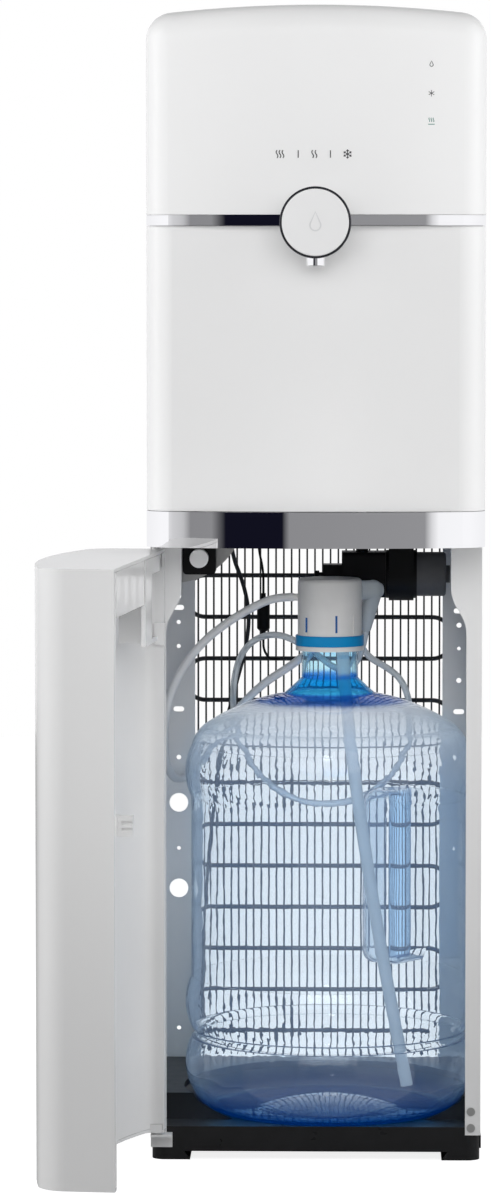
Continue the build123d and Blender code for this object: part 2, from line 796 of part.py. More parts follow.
def handle_grip():
    """Upright round grip between the floor and the roof of the recess."""
    spot = handle_plane(bottle_body_radius - grip_inset).origin
    return upright_bar(grip_radius, handle_bottom_z, handle_top_z, spot.X, spot.Y)


bottle_outside = bottle_body(0) - handle_pocket(0)
bottle_inside = bottle_body(bottle_wall) - handle_pocket(bottle_wall)
blown_bottle = bottle_outside - bottle_inside
with BuildPart() as water_bottle:
    add(blown_bottle, clean=False)
write(water_bottle, "water_bottle")

with BuildPart() as bottle_grip:
    add(handle_grip())
write(bottle_grip, "bottle_grip")


# ---- probe cap, its band and elbow -----------------------------------------------------------------------
cap_bore = neck_radius + fit_gap
with BuildPart() as probe_cap:
    add(upright_bar(cap_radius, cap_rim_bottom_z, cap_top_z, bottle_x, bottle_y))
    fillet(probe_cap.faces().sort_by(Axis.Z)[-1].edges(), cap_top_round)
    add(upright_bar(cap_band_radius - fit_gap, cap_rim_bottom_z, cap_band_bottom_z - fit_gap, bottle_x, bottle_y))
    add(upright_bar(cap_bore, cap_rim_bottom_z, neck_top_z + fit_gap, bottle_x, bottle_y), mode=Mode.SUBTRACT)
    slot_z = cap_band_top_z + cap_slot_height / 2 + fit_gap
    with Locations((bottle_x, bottle_y, slot_z)):
        with PolarLocations(cap_radius, cap_slots):
            Box(2 * cap_slot_depth, cap_slot_width, cap_slot_height, mode=Mode.SUBTRACT)
    with BuildSketch(Plane.YZ.offset(bottle_x - cap_radius + cap_top_round)):
        with Locations((bottle_y, nipple_z)):
            Circle(nipple_radius)
    extrude(amount=-nipple_length - cap_top_round)
write(probe_cap, "probe_cap")

with BuildPart() as cap_band:
    add(upright_bar(cap_band_radius, cap_band_bottom_z, cap_band_top_z, bottle_x, bottle_y))
    fillet(cap_band.faces().sort_by(Axis.Z)[-1].edges(), edge_round)
    add(upright_bar(cap_radius + fit_gap, cap_band_bottom_z, cap_band_top_z, bottle_x, bottle_y),
        mode=Mode.SUBTRACT)
write(cap_band, "cap_band")

def bar_from(origin, direction, radius, length):
    """Round bar of a length, from a point along a direction."""
    standing = (Align.CENTER, Align.CENTER, Align.MIN)
    return Plane(origin=origin, z_dir=direction) * Cylinder(radius, length, align=standing, mode=Mode.PRIVATE)


with BuildPart() as cap_elbow:  # stub from the cap, knob at its end, cone down to the hose
    elbow_out = Vector(cos(radians(elbow_turn)), sin(radians(elbow_turn)), 0)
    elbow_root = Vector(bottle_x, bottle_y, elbow_z)
    elbow_corner = elbow_root + elbow_out * elbow_reach
    elbow_down = Vector(*elbow_tip) - elbow_corner
    add(bar_from(elbow_root, elbow_out, elbow_knob_radius, elbow_knob_reach))
    rims = cap_elbow.edges().filter_by(GeomType.CIRCLE)
    fillet(rims.sort_by_distance(elbow_root)[-1], elbow_knob_radius / 2)
    add(bar_from(elbow_root, elbow_out, elbow_radius, elbow_reach))
    with Locations(tuple(elbow_corner)):
        Sphere(elbow_radius + fit_gap)
    with Locations(Plane(origin=elbow_corner, z_dir=elbow_down)):
        Cone(elbow_radius, elbow_tip_radius, elbow_down.length, align=(Align.CENTER, Align.CENTER, Align.MIN))
    add(upright_bar(cap_radius + fit_gap, cap_rim_bottom_z, cap_top_z + elbow_radius, bottle_x, bottle_y),
        mode=Mode.SUBTRACT)
write(cap_elbow, "cap_elbow")

straw_x = bottle_x + straw_offset
straw_route = [(straw_x, bottle_y, neck_top_z), (straw_x, bottle_y, 460), (31.5, bottle_y, 384),
               (42.4, bottle_y, 304), (54.5, bottle_y, 225), (70, bottle_y, 138), (87, bottle_y, 50)]
with BuildPart() as suction_straw:
    add(tube_along(straw_route, straw_radius, straw_bore))
write(suction_straw, "suction_straw")


# ---- pump ------------------------------------------------------------------------------------------------
def bar_along_x(radius, x_from, x_to, y, z):
    """Cylinder along X."""
    with BuildPart(mode=Mode.PRIVATE) as bar:
        with BuildSketch(Plane.YZ.offset(x_from)):
            with Locations((y, z)):
                Circle(radius)
        extrude(amount=x_to - x_from)
    return bar.part


motor_end_x = motor_left_x + motor_length
end_cap_x = motor_end_x + end_cap_length
with BuildPart() as pump_motor:
    add(bar_along_x(motor_radius, motor_left_x, motor_end_x, pump_y, pump_z))
    fillet(pump_motor.faces().sort_by(Axis.X)[0].edges(), edge_round)
write(pump_motor, "pump_motor")

with BuildPart() as pump_end_cap:
    add(bar_along_x(end_cap_radius, motor_end_x, end_cap_x, pump_y, pump_z))
    fillet(pump_end_cap.faces().sort_by(Axis.X)[-1].edges(), end_round)
    add(bar_along_x(terminal_radius, end_cap_x, end_cap_x + terminal_length, pump_y, pump_z))
write(pump_end_cap, "pump_end_cap")

head_left_x = motor_left_x - fit_gap - head_width
step_left_x = head_left_x - step_width
inlet_tip_z = pump_z - step_height / 2 - barb_length
head_bottom_z = pump_z - head_height / 2
head_top_z = pump_z + head_height / 2
with BuildPart() as pump_head:
    with Locations((head_left_x, pump_y, pump_z)):
        Box(head_width, head_depth, head_height, align=(Align.MIN, Align.CENTER, Align.CENTER))
    fillet(pump_head.edges().filter_by(Axis.X), head_round)
    with Locations((step_left_x, pump_y, pump_z)):
        Box(step_width, step_depth, step_height, align=(Align.MIN, Align.CENTER, Align.CENTER))
    add(bar_along_x(barb_radius / 2, step_left_x - spare_length, step_left_x, pump_y, pump_z))
    add(bar_along_x(barb_radius, step_left_x - spare_length, step_left_x - spare_length / 2, pump_y, pump_z))
    add(upright_bar(barb_radius, inlet_tip_z, pump_z, inlet_x, pump_y))
    add(upright_bar(barb_radius, head_bottom_z - barb_length, head_bottom_z, outlet_x, outlet_y))
    add(upright_bar(delivery_radius + trim_wall, head_top_z, ceiling_z - barb_length, riser_x, pump_y))
write(pump_head, "pump_head")

with BuildPart() as pump_bracket:  # strap round the motor, hung from the ceiling
    strap_x = motor_left_x + motor_length / 2
    clamp_radius = motor_radius + fit_gap
    add(bar_along_x(clamp_radius + pump_plate, strap_x - pump_strap_width / 2, strap_x + pump_strap_width / 2,
                    pump_y, pump_z))
    with Locations((strap_x, pump_y, pump_z)):
        Box(pump_strap_width, 2 * clamp_radius + 2 * pump_plate, ceiling_z - pump_z,
            align=(Align.CENTER, Align.CENTER, Align.MIN))
    with Locations((strap_x, pump_y, pump_z)):
        Box(pump_strap_width, 2 * clamp_radius, ceiling_z - pump_z - pump_plate,
            align=(Align.CENTER, Align.CENTER, Align.MIN), mode=Mode.SUBTRACT)
    add(bar_along_x(clamp_radius, strap_x - pump_strap_width, strap_x + pump_strap_width, pump_y, pump_z),
        mode=Mode.SUBTRACT)
write(pump_bracket, "pump_bracket")


# ---- hoses and cable: points chosen by hand along their real routes --------------------------------------
supply_route = [(inlet_x, pump_y, inlet_tip_z), (inlet_x, pump_y, 502), (8, 58, 482), (-9, 72, 463), (-30, 87, 446),
                (-54, 100, 430), (-76, 109, 408), (-97, 108, 381), (-115, 96, 355), (-129, 76, 339),
                (-140, 52, 339), (-147, 30, 354), (-148.5, 11, 376), (-147.5, -3, 402), (-141.5, -10, 430),
                (-129, -14, 456), (-110, -16, 480), (-86, -17, 499), (-61, -18, 514), (-40, -18, nipple_z),
                (bottle_x - cap_radius - nipple_length, bottle_y, nipple_z)]
return_route = [(outlet_x, outlet_y, head_bottom_z - barb_length), (outlet_x, outlet_y, 492), (39, 66, 474),
                (50, 76, 457), (67, 90, 447), (82, 104, 434), (90, 116, 412), (92, 126, 384), (86, 132, 354),
                (68, 134, 328), (42, 134, 312), (12, 134, 306), (-18, 134, 309), (-46, 134, 322),
                (-68, 133, 344), (-80, 130, 372), (-85, 125, 402), (-84, 118, 432), (-77, 108, 458),
                (-62, 94, 475), (-40, 78, 481), (-16, 63, 472), (4, 53, 457), (22, 42, 447), (37, 30, 454),
                (44, 19.1, 471.6), elbow_tip]
cable_route = [(*cable_hole, ceiling_z + sheet), (-86, 102, 558), (-74, 112, 528), (-68, 120, 496),
               (-72, 128, 462), (-82, 134, 426), (-92, 137, 388), (-101, 137, 348), (-107, 137, 306),
               (-112, 137, 262), (-117, 136, 216), (-121, 134, 170), (-122, 132, 124), (-120, 130, 84),
               (-119, 129, tray_top_z + fit_gap)]

with BuildPart() as supply_hose:
    add(tube_along(supply_route, hose_radius))
write(supply_hose, "supply_hose")

with BuildPart() as return_hose:
    add(tube_along(return_route, return_hose_radius))
write(return_hose, "return_hose")

with BuildPart() as inner_cable:
    add(tube_along(cable_route, cable_radius))
write(inner_cable, "inner_cable")


# ---- door switch -----------------------------------------------------------------------------------------
switch_back_y = switch_face_y + switch_depth


def square_block(size, corner, y_from, y_to):
    """Rounded square block along Y about the switch's axis."""
    with BuildPart(mode=Mode.PRIVATE) as block:
        with BuildSketch(Plane.XZ.offset(-y_to)):
            with Locations((switch_x, switch_z)):
                RectangleRounded(size, size, corner)
        extrude(amount=y_to - y_from)
    return block.part


with BuildPart() as switch_housing:
    add(square_block(switch_size, switch_round, switch_face_y, switch_back_y))
    add(round_bar(plunger_radius + running_gap, switch_face_y - cut_margin, switch_back_y - switch_rim,
                  switch_x, switch_z), mode=Mode.SUBTRACT)
write(switch_housing, "switch_housing")

plunger_proud = 1.0
plunger_tip_y = front_y - plunger_proud
with BuildPart() as door_switch_button:
    add(round_bar(plunger_radius, plunger_tip_y, plunger_tip_y + plunger_length, switch_x, switch_z))
    fillet(door_switch_button.faces().sort_by(Axis.Y)[0].edges(), edge_round)
write(door_switch_button, "door_switch_button")

with BuildPart() as switch_bracket:
    with BuildSketch(Plane.XZ.offset(-switch_back_y - bracket_thickness)):
        with BuildLine():
            Polyline((bracket_corner_x, bracket_left_z), (-inner_half, bracket_left_z),
                     (-inner_half, ceiling_z - fit_gap), (bracket_right_x, ceiling_z - fit_gap))
            ThreePointArc((bracket_right_x, ceiling_z - fit_gap), bracket_middle,
                          (bracket_corner_x, bracket_left_z))
        make_face()
    extrude(amount=bracket_thickness)
write(switch_bracket, "switch_bracket")


# ---- condenser behind the bay ----------------------------------------------------------------------------
row_heights = [tube_first_z + row * tube_pitch for row in range(tube_rows)]
bend_radius = tube_pitch / 2
row_half = tube_half - bend_radius

with BuildPart() as condenser_tube:
    with BuildLine() as serpentine:
        for row, z in enumerate(row_heights):
            hand = -1 if row % 2 == 0 else 1
            Line((-hand * row_half, tube_y, z), (hand * row_half, tube_y, z))
            if row < tube_rows - 1:
                ThreePointArc((hand * row_half, tube_y, z), (hand * tube_half, tube_y, z + bend_radius),
                              (hand * row_half, tube_y, z + tube_pitch))
    path = serpentine.wire()
    with BuildSketch(Plane(origin=path @ 0, z_dir=path % 0)):
        RegularPolygon(tube_radius, 8)
    sweep(path=path)
write(condenser_tube, "condenser_tube")

with BuildPart() as condenser_wires:
    wire_reach = tube_radius + wire_radius + weld_gap
    with BuildSketch(Plane.XY.offset(wire_bottom_z)):
        with Locations((0, tube_y - wire_reach), (0, tube_y + wire_reach)):
            with GridLocations(wire_pitch, 1, wire_count, 1):
                RegularPolygon(wire_radius, 6)
    extrude(amount=row_heights[-1] + wire_overrun - wire_bottom_z)
write(condenser_wires, "condenser_wires")

with BuildPart() as condenser_clips:
    clip_depth = tube_y + tube_radius + 2 * sheet - rear_y
    for row in clip_bends:  # each holds the tube at the outermost point of a bend
        hand = -1 if row % 2 == 0 else 1
        bend_z = row_heights[row] + bend_radius
        with Locations((hand * tube_half, rear_y, bend_z)):
            Box(clip_width, clip_depth, clip_height, align=(Align.CENTER, Align.MIN, Align.CENTER))
        add(upright_bar(tube_radius + clip_slack, bend_z - clip_height, bend_z + clip_height,
                        hand * (tube_half - fit_gap / 2), tube_y), mode=Mode.SUBTRACT)
write(condenser_clips, "condenser_clips")

with BuildPart() as filter_drier:
    add(upright_bar(drier_radius, drier_bottom_z, drier_top_z, drier_x, drier_y))
    chamfer(filter_drier.edges().filter_by(GeomType.CIRCLE), end_round)
    add(upright_bar(2 * capillary_radius, drier_bottom_z - drier_neck, drier_top_z + drier_neck,
                    drier_x, drier_y))
write(filter_drier, "filter_drier")

with BuildPart() as capillary_tube:
    top = drier_top_z + drier_neck
    bottom = drier_bottom_z - drier_neck
    bent_x, bent_y = drier_x - 5, drier_y - 6
    add(tube_along([(drier_x, drier_y, top), (drier_x, drier_y, top + 22), (bent_x, bent_y, top + 46),
                    (bent_x, bent_y, ceiling_z)], capillary_radius))
    add(tube_along([(drier_x, drier_y, bottom), (drier_x, drier_y, row_heights[9] + 10),
                    (drier_x + 6, drier_y + 2, row_heights[9]),
                    (drier_x + 16, tube_y - tube_radius - capillary_radius - weld_gap, row_heights[9])],
                   capillary_radius))
write(capillary_tube, "capillary_tube")


# ---- door, drawn shut and then swung open about its hinge ------------------------------------------------
hinge_axis = Axis((hinge_x, hinge_y, 0), (0, 0, 1))


def write_open(piece, name):
    """Swing a piece of the shut door to its rest position and write it."""
    swung = piece.part.rotate(hinge_axis, -door_open_angle)
    swung.label = name
    export_step(swung, f"parts/{name}.step")


def door_recess(grow):
    """Plan of the hollow inside the door, which follows the bulge of its front."""
    half = cover_half - door_wall - liner_rib + grow
    shoulder = front_y - liner_side_depth - grow
    with BuildSketch(mode=Mode.PRIVATE) as plan:
        with BuildLine():
            side = Line((-half, front_y), (-half, shoulder))
            arc = ThreePointArc(side @ 1, (0, front_y - liner_depth - grow), (half, shoulder))
            Polyline(arc @ 1, (half, front_y), (-half, front_y))
        make_face()
        fillet(plan.vertices().group_by(Axis.Y)[0], liner_corner + grow)
    return plan.sketch


hinge_bore = upright_bar(pin_radius + running_gap, door_bottom_z - cut_margin, door_top_z + cut_margin,
                         hinge_x, hinge_y)

with BuildPart() as door_shell:
    with BuildSketch(Plane.XY.offset(door_bottom_z)):
        add(bulged_plan(0, back=door_back_y))
        add(bulged_plan(door_wall, back=front_y), mode=Mode.SUBTRACT)
    extrude(amount=door_top_z - door_bottom_z)
    with BuildSketch(Plane.XY.offset(door_bottom_z)):
        add(bulged_plan(0, back=door_back_y))
        add(door_recess(0), mode=Mode.SUBTRACT)
    extrude(amount=door_wall)
    with BuildSketch(Plane.XY.offset(door_top_z - door_wall)):
        add(bulged_plan(0, back=door_back_y))
    extrude(amount=door_wall)
    with BuildSketch(Plane.XY.offset(door_bottom_z)):  # takes off the corner that swings towards the cabinet
        with Locations(Location((-cover_half, door_back_y), 45)):
            Rectangle(4 * door_corner_cut, 2 * door_corner_cut / sqrt(2))
    extrude(amount=door_top_z - door_bottom_z, mode=Mode.SUBTRACT)
    boss = hinge_boss_radius
    for bottom in (door_bottom_z, door_top_z - pin_engagement):
        with Locations((hinge_x - hinge_inset, hinge_y, bottom)):
            Box(hinge_inset + boss, 2 * boss, pin_engagement, align=(Align.MIN, Align.CENTER, Align.MIN))
    add(hinge_bore, mode=Mode.SUBTRACT)
write_open(door_shell, "door_shell")

with BuildPart() as door_liner:
    liner_bottom = door_bottom_z + door_wall + fit_gap
    liner_top = door_top_z - door_wall - fit_gap
    with BuildSketch(Plane.XY.offset(liner_bottom)):
        add(door_recess(liner_wall))
        with Locations((0, door_back_y)):
            Rectangle(2 * (cover_half - door_wall - fit_gap), liner_wall, align=(Align.CENTER, Align.MAX))
        add(door_recess(0), mode=Mode.SUBTRACT)
        with Locations((0, door_back_y)):
            Rectangle(2 * cover_half, cabinet_depth, align=(Align.CENTER, Align.MIN), mode=Mode.SUBTRACT)
    extrude(amount=liner_top - liner_bottom)
    for bottom in (door_bottom_z, door_top_z - pin_engagement):
        with Locations((hinge_x - hinge_inset, hinge_y, bottom)):
            Box(hinge_inset + hinge_boss_radius + fit_gap, 2 * (hinge_boss_radius + fit_gap),
                2 * (pin_engagement + fit_gap), align=(Align.MIN, Align.CENTER, Align.CENTER),
                mode=Mode.SUBTRACT)
write_open(door_liner, "door_liner")

recess_half = cover_half - door_wall - liner_rib
top_box_width = recess_half - fit_gap - arm_x - arm_width - top_box_gap
top_box_bottom = door_top_z - door_wall - fit_gap - top_box_height
with BuildPart() as top_pocket:  # shallow box across the top of the door's hollow
    with BuildSketch(Plane.XY.offset(top_box_bottom)):
        add(door_recess(-fit_gap))
        with Locations((recess_half - fit_gap - top_box_width, front_y)):
            Rectangle(2 * side_x, 2 * liner_depth, align=(Align.MAX, Align.CENTER), mode=Mode.SUBTRACT)
        with Locations((0, door_back_y)):
            Rectangle(2 * side_x, liner_depth, align=(Align.CENTER, Align.MIN), mode=Mode.SUBTRACT)
    extrude(amount=top_box_wall)
    with BuildSketch(Plane.XY.offset(top_box_bottom)):
        with Locations((recess_half - fit_gap - top_box_width, door_back_y)):
            Rectangle(top_box_width, top_box_wall, align=(Align.MIN, Align.MAX))
    extrude(amount=top_box_height)
write_open(top_pocket, "door_top_pocket")

with BuildPart() as door_arm:  # hooked arm beside the pocket
    arm_top = door_top_z - door_wall - fit_gap
    arm_y = door_back_y - arm_thickness
    with BuildSketch(Plane.XZ.offset(-door_back_y)):
        with BuildLine():
            Polyline((arm_x - arm_tab, arm_top), (arm_x + arm_width, arm_top), (arm_x + arm_width, arm_bottom_z),
                     (arm_x - arm_foot, arm_bottom_z), (arm_x - arm_foot, arm_bottom_z + arm_thickness),
                     (arm_x, arm_bottom_z + arm_thickness), (arm_x, switch_z - plunger_radius),
                     (arm_x - arm_tab, switch_z - plunger_radius), (arm_x - arm_tab, arm_top))
        make_face()
    extrude(amount=arm_thickness)
    with Locations((arm_x + arm_thickness / 2, arm_y, arm_bottom_z)):
        Box(arm_thickness, arm_reach, top_box_bottom - arm_bottom_z, align=(Align.CENTER, Align.MAX, Align.MIN))
write_open(door_arm, "door_arm")

with BuildPart() as door_stop:
    with BuildSketch(Plane.XY.offset(stop_z)):
        with Locations((-recess_half, door_back_y)):
            Rectangle(2 * stop_proud, 2 * stop_depth)
        add(door_recess(-weld_gap), mode=Mode.INTERSECT)
    extrude(amount=stop_height)
write_open(door_stop, "door_stop")

with BuildPart() as door_latch:  # ribbed tongue on a block at the right wall of the door's hollow
    with BuildSketch(Plane.XY.offset(latch_z - latch_height / 2)):
        with Locations((side_x, door_back_y)):
            Rectangle(front_flange + latch_clearance + latch_width, latch_reach, align=(Align.MAX, Align.MAX))
        add(door_recess(-weld_gap), mode=Mode.INTERSECT)
    extrude(amount=latch_height)
    latch_x = side_x - front_flange - latch_clearance
    with Locations((latch_x, front_y, latch_z)):
        Box(latch_width, latch_reach, latch_height, align=(Align.MAX, Align.MIN, Align.CENTER))
    with Locations((latch_x, door_back_y, latch_z)):
        Box(latch_width, door_back_gap, latch_height, align=(Align.MAX, Align.MIN, Align.CENTER))
    for groove in (-1, 1):  # between the ribs on the side that faces out
        with Locations((latch_x, front_y + latch_reach, latch_z + groove * latch_height / latch_ribs / 2)):
            Box(2 * latch_rib_depth, 2 * (latch_reach - latch_rib_depth), latch_height / latch_ribs / 2,
                mode=Mode.SUBTRACT)
write_open(door_latch, "door_latch")

with BuildPart() as hinge_brackets:  # plates with the two pins that the door turns on
    plate_front = hinge_y - hinge_boss_radius
    with Locations((-side_x, plate_front, band_bottom_z - hinge_plate)):
        Box(hinge_plate_width, front_y - plate_front - door_back_gap, hinge_plate,
            align=(Align.MIN, Align.MIN, Align.MIN))
    add(upright_bar(pin_radius, door_top_z - pin_engagement, band_bottom_z, hinge_x, hinge_y))
    lower_plate_z = panel_bottom_z
    with Locations((-side_x, plate_front, lower_plate_z)):
        Box(hinge_plate_width, front_y - plate_front, hinge_plate, align=(Align.MIN, Align.MIN, Align.MIN))
    with Locations((-side_x, front_y, lower_plate_z - hinge_tab_height)):
        Box(hinge_plate_width, hinge_plate, hinge_tab_height + hinge_plate,
            align=(Align.MIN, Align.MAX, Align.MIN))
    add(upright_bar(pin_radius, lower_plate_z, door_bottom_z + pin_engagement, hinge_x, hinge_y))
write(hinge_brackets, "hinge_brackets")


# ---- upper body: compressor, tanks and pipes -------------------------------------------------------------
compressor_bottom = ceiling_z + sheet + compressor_lift
with BuildPart() as compressor:
    add(upright_bar(compressor_radius, compressor_bottom, compressor_bottom + compressor_height,
                    compressor_x, compressor_y))
    fillet(compressor.faces().sort_by(Axis.Z)[-1].edges(), compressor_radius * 0.45)
    fillet(compressor.faces().sort_by(Axis.Z)[0].edges(), compressor_radius * 0.2)
    with Locations((compressor_x, compressor_y, compressor_bottom)):
        Box(2 * mount_square + 2 * mount_radius, 2 * mount_radius, 2 * sheet,
            align=(Align.CENTER, Align.CENTER, Align.MIN))
        Box(2 * mount_radius, 2 * mount_square + 2 * mount_radius, 2 * sheet,
            align=(Align.CENTER, Align.CENTER, Align.MIN))
write(compressor, "compressor")

with BuildPart() as compressor_mounts:
    with BuildSketch(Plane.XY.offset(ceiling_z + sheet)):
        with Locations((compressor_x, compressor_y)):
            with PolarLocations(mount_square, 4):
                Circle(mount_radius)
    extrude(amount=compressor_lift - fit_gap)
write(compressor_mounts, "compressor_mounts")

tank_bottom = shelf_z + sheet + tank_foot
with BuildPart() as cold_tank_jacket:
    jacket = cold_tank_radius + fit_gap + jacket_wall
    add(upright_bar(jacket, shelf_z + sheet, tank_bottom + cold_tank_height, cold_tank_x, tank_y))
    add(upright_bar(cold_tank_radius + fit_gap, tank_bottom, tank_bottom + cold_tank_height,
                    cold_tank_x, tank_y), mode=Mode.SUBTRACT)
    add(upright_bar(delivery_radius + fit_gap, shelf_z, tank_bottom, riser_x, pump_y), mode=Mode.SUBTRACT)
write(cold_tank_jacket, "cold_tank_jacket")


def steel_tank(radius, height, x):
    """Closed round tank of thin steel with rounded ends."""
    with BuildPart() as tank:
        add(upright_bar(radius, tank_bottom, tank_bottom + height, x, tank_y))
        chamfer(tank.edges().filter_by(GeomType.CIRCLE), radius / 5)
        offset(amount=-tank_wall, mode=Mode.SUBTRACT)
    return tank


write(steel_tank(cold_tank_radius, cold_tank_height, cold_tank_x), "cold_tank")
write(steel_tank(hot_tank_radius, hot_tank_height, hot_tank_x), "hot_tank")

with BuildPart() as heater_band:
    band_bottom = tank_bottom + hot_tank_height / 3
    add(upright_bar(hot_tank_radius + fit_gap + heater_band_wall, band_bottom,
                    band_bottom + heater_band_height, hot_tank_x, tank_y))
    add(upright_bar(hot_tank_radius + fit_gap, band_bottom, band_bottom + heater_band_height,
                    hot_tank_x, tank_y), mode=Mode.SUBTRACT)
write(heater_band, "heater_band")

with BuildPart() as tank_stand:
    with BuildSketch(Plane.XY.offset(shelf_z + sheet)):
        with Locations((hot_tank_x, tank_y)):
            with PolarLocations(hot_tank_radius * 0.55, 3):
                Circle(mount_radius)
    extrude(amount=tank_foot - fit_gap)
write(tank_stand, "hot_tank_feet")

with BuildPart() as water_pipes:
    add(upright_bar(delivery_radius, ceiling_z - barb_length + fit_gap, tank_bottom - fit_gap,
                    riser_x, pump_y))
    for hand, tank_x, radius in ((-1, hot_tank_x, hot_tank_radius), (1, cold_tank_x, cold_tank_radius)):
        out_x = hand * faucet_radius * 0.4
        lead_y = front_y - faucet_back + pipe_lead
        bend_y = lead_y + pipe_bend_back
        add(tube_along([(out_x, front_y - faucet_back + fit_gap, dial_z), (out_x, lead_y, dial_z),
                        (out_x + hand * pipe_bend_out, bend_y, dial_z),
                        (tank_x, bend_y + pipe_run, dial_z), (tank_x, tank_y - radius - jacket_wall - fit_gap * 2, dial_z)],
                       water_pipe_radius))
write(water_pipes, "water_pipes")


# ---- rocker switches on the back -------------------------------------------------------------------------
def rocker_sketch(margin):
    """The outline of both rockers, grown by a margin."""
    with Locations((0, rocker_z)):
        with GridLocations(rocker_pitch, 1, 2, 1):
            Rectangle(rocker_width + 2 * margin, rocker_height + 2 * margin)


def rocker_pin(x, radius, beyond):
    """Round bar on a rocker's axis, past both its sides."""
    return bar_along_x(radius, x - rocker_width / 2 - beyond, x + rocker_width / 2 + beyond,
                       rear_y - rocker_pin_inset, rocker_z)


with BuildPart() as rocker_frames:
    with BuildSketch(Plane.XZ.offset(-rear_y - sheet)) as frame_plan:
        rocker_sketch(rocker_frame_margin)
        with Locations((0, rocker_z)):
            with GridLocations(rocker_pitch, 1, 2, 1):
                Rectangle(rocker_width + 2 * running_gap, rocker_height + 2 * running_gap, mode=Mode.SUBTRACT)
    extrude(amount=-trim_wall)
    with BuildSketch(Plane.XZ.offset(-rear_y - sheet)):
        with Locations((0, rocker_z)):
            with GridLocations(rocker_pitch, 1, 2, 1):
                Rectangle(rocker_width + rocker_frame_margin, rocker_height + rocker_frame_margin)
                Rectangle(rocker_width + 2 * running_gap, rocker_height + 2 * running_gap, mode=Mode.SUBTRACT)
    extrude(amount=rocker_depth)
    with BuildSketch(Plane.XZ.offset(-rear_y - sheet + rocker_depth)):
        with Locations((0, rocker_z)):
            with GridLocations(rocker_pitch, 1, 2, 1):
                Rectangle(rocker_width + rocker_frame_margin, rocker_height + rocker_frame_margin)
    extrude(amount=trim_wall)
    for hand in (-1, 1):
        add(rocker_pin(hand * rocker_pitch / 2, rocker_pin_radius + fit_gap, rocker_frame_margin),
            mode=Mode.SUBTRACT)
write(rocker_frames, "rocker_frames")


def rocker(x):
    """Rocker with two faces at an angle, turning about X inside its frame."""
    half = rocker_height / 2 - 2 * running_gap
    outer = rear_y + sheet + trim_wall
    rise = half * sin(radians(rocker_tilt))
    with BuildPart() as paddle:
        with BuildSketch(Plane.YZ.offset(x - rocker_width / 2 + running_gap)):
            with BuildLine():
                Polyline((outer - 4, rocker_z - half + 1), (outer + rise, rocker_z - half + 1), (outer, rocker_z),
                         (outer + rise, rocker_z + half - 1), (outer - 4, rocker_z + half - 1),
                         (outer - 9, rocker_z), (outer - 4, rocker_z - half + 1))
            make_face()
        extrude(amount=rocker_width - 2 * running_gap)
        add(rocker_pin(x, rocker_pin_radius, running_gap + rocker_pin_grip))
    return paddle


write(rocker(-rocker_pitch / 2), "heating_rocker")
write(rocker(rocker_pitch / 2), "cooling_rocker")


# ---- screws ----------------------------------------------------------------------------------------------
with BuildPart() as flange_screws:
    for hand in (-1, 1):
        for z in screw_heights:
            add(round_bar(screw_head_radius, front_y, front_y - screw_head, hand * screw_x, z))
write(flange_screws, "flange_screws")
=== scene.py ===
"""Looks of the bottom load water cooler. Metres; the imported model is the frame, X right, Y back, Z up."""
from math import cos, pi, radians, sin

import bpy
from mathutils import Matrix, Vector
from mathutils.bvhtree import BVHTree


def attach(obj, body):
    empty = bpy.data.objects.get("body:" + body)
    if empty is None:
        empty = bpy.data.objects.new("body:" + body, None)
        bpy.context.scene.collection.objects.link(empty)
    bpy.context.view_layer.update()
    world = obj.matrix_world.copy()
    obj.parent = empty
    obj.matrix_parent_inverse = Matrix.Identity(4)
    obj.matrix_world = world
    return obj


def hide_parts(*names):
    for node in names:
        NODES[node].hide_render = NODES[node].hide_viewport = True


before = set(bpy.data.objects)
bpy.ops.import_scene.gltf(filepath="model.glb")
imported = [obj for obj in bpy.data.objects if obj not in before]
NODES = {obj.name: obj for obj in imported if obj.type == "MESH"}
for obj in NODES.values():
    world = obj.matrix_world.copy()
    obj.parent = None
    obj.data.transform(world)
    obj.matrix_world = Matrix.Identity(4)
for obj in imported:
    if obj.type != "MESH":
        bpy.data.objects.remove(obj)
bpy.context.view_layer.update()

MM = 0.001


def put(name, data):
    """New object in the scene."""
    made = bpy.data.objects.new(name, data)
    bpy.context.scene.collection.objects.link(made)
    return made


def look_at(thing, place, aim):
    """Stand a camera or a lamp at a place and turn it to its aim."""
    thing.location = place
    thing.rotation_euler = (Vector(aim) - Vector(place)).to_track_quat("-Z", "Y").to_euler()


# ---- camera, fitted to the photograph --------------------------------------------------------------------
CAMERA_PLACE = (0.041, -4.745, 0.844)
CAMERA_AIM = (-0.06611, -0.145, 0.52881)
CAMERA_LENS = 147.92
CAMERA_SENSOR = 36.0
CAMERA_REACH = 60.0


def make_camera():
    data = bpy.data.cameras.new("camera")
    data.lens = CAMERA_LENS
    data.sensor_width = CAMERA_SENSOR
    data.clip_end = CAMERA_REACH
    camera = put("camera", data)
    look_at(camera, CAMERA_PLACE, CAMERA_AIM)
    bpy.context.scene.camera = camera


make_camera()


# ---- shader nodes ----------------------------------------------------------------------------------------
def feed(tree, socket, value):
    """Link another node's output to a socket, or give the socket a plain value."""
    if isinstance(value, bpy.types.NodeSocket):
        tree.links.new(value, socket)
    else:
        socket.default_value = value


def node(tree, kind, *inputs, **settings):
    """New node; settings are properties or inputs by name, inputs are fed in the node's own order."""
    made = tree.nodes.new(kind)
    for key, value in settings.items():
        if key in made.inputs:
            feed(tree, made.inputs[key], value)
        else:
            setattr(made, key, value)
    for socket, value in zip(made.inputs, inputs):
        feed(tree, socket, value)
    return made


def maths(tree, operation, *values):
    return node(tree, "ShaderNodeMath", *values, operation=operation).outputs[0]


def mix(tree, factor, first, second):
    """The first shader where the factor is 0, the second where it is 1."""
    return node(tree, "ShaderNodeMixShader", factor, first, second).outputs[0]


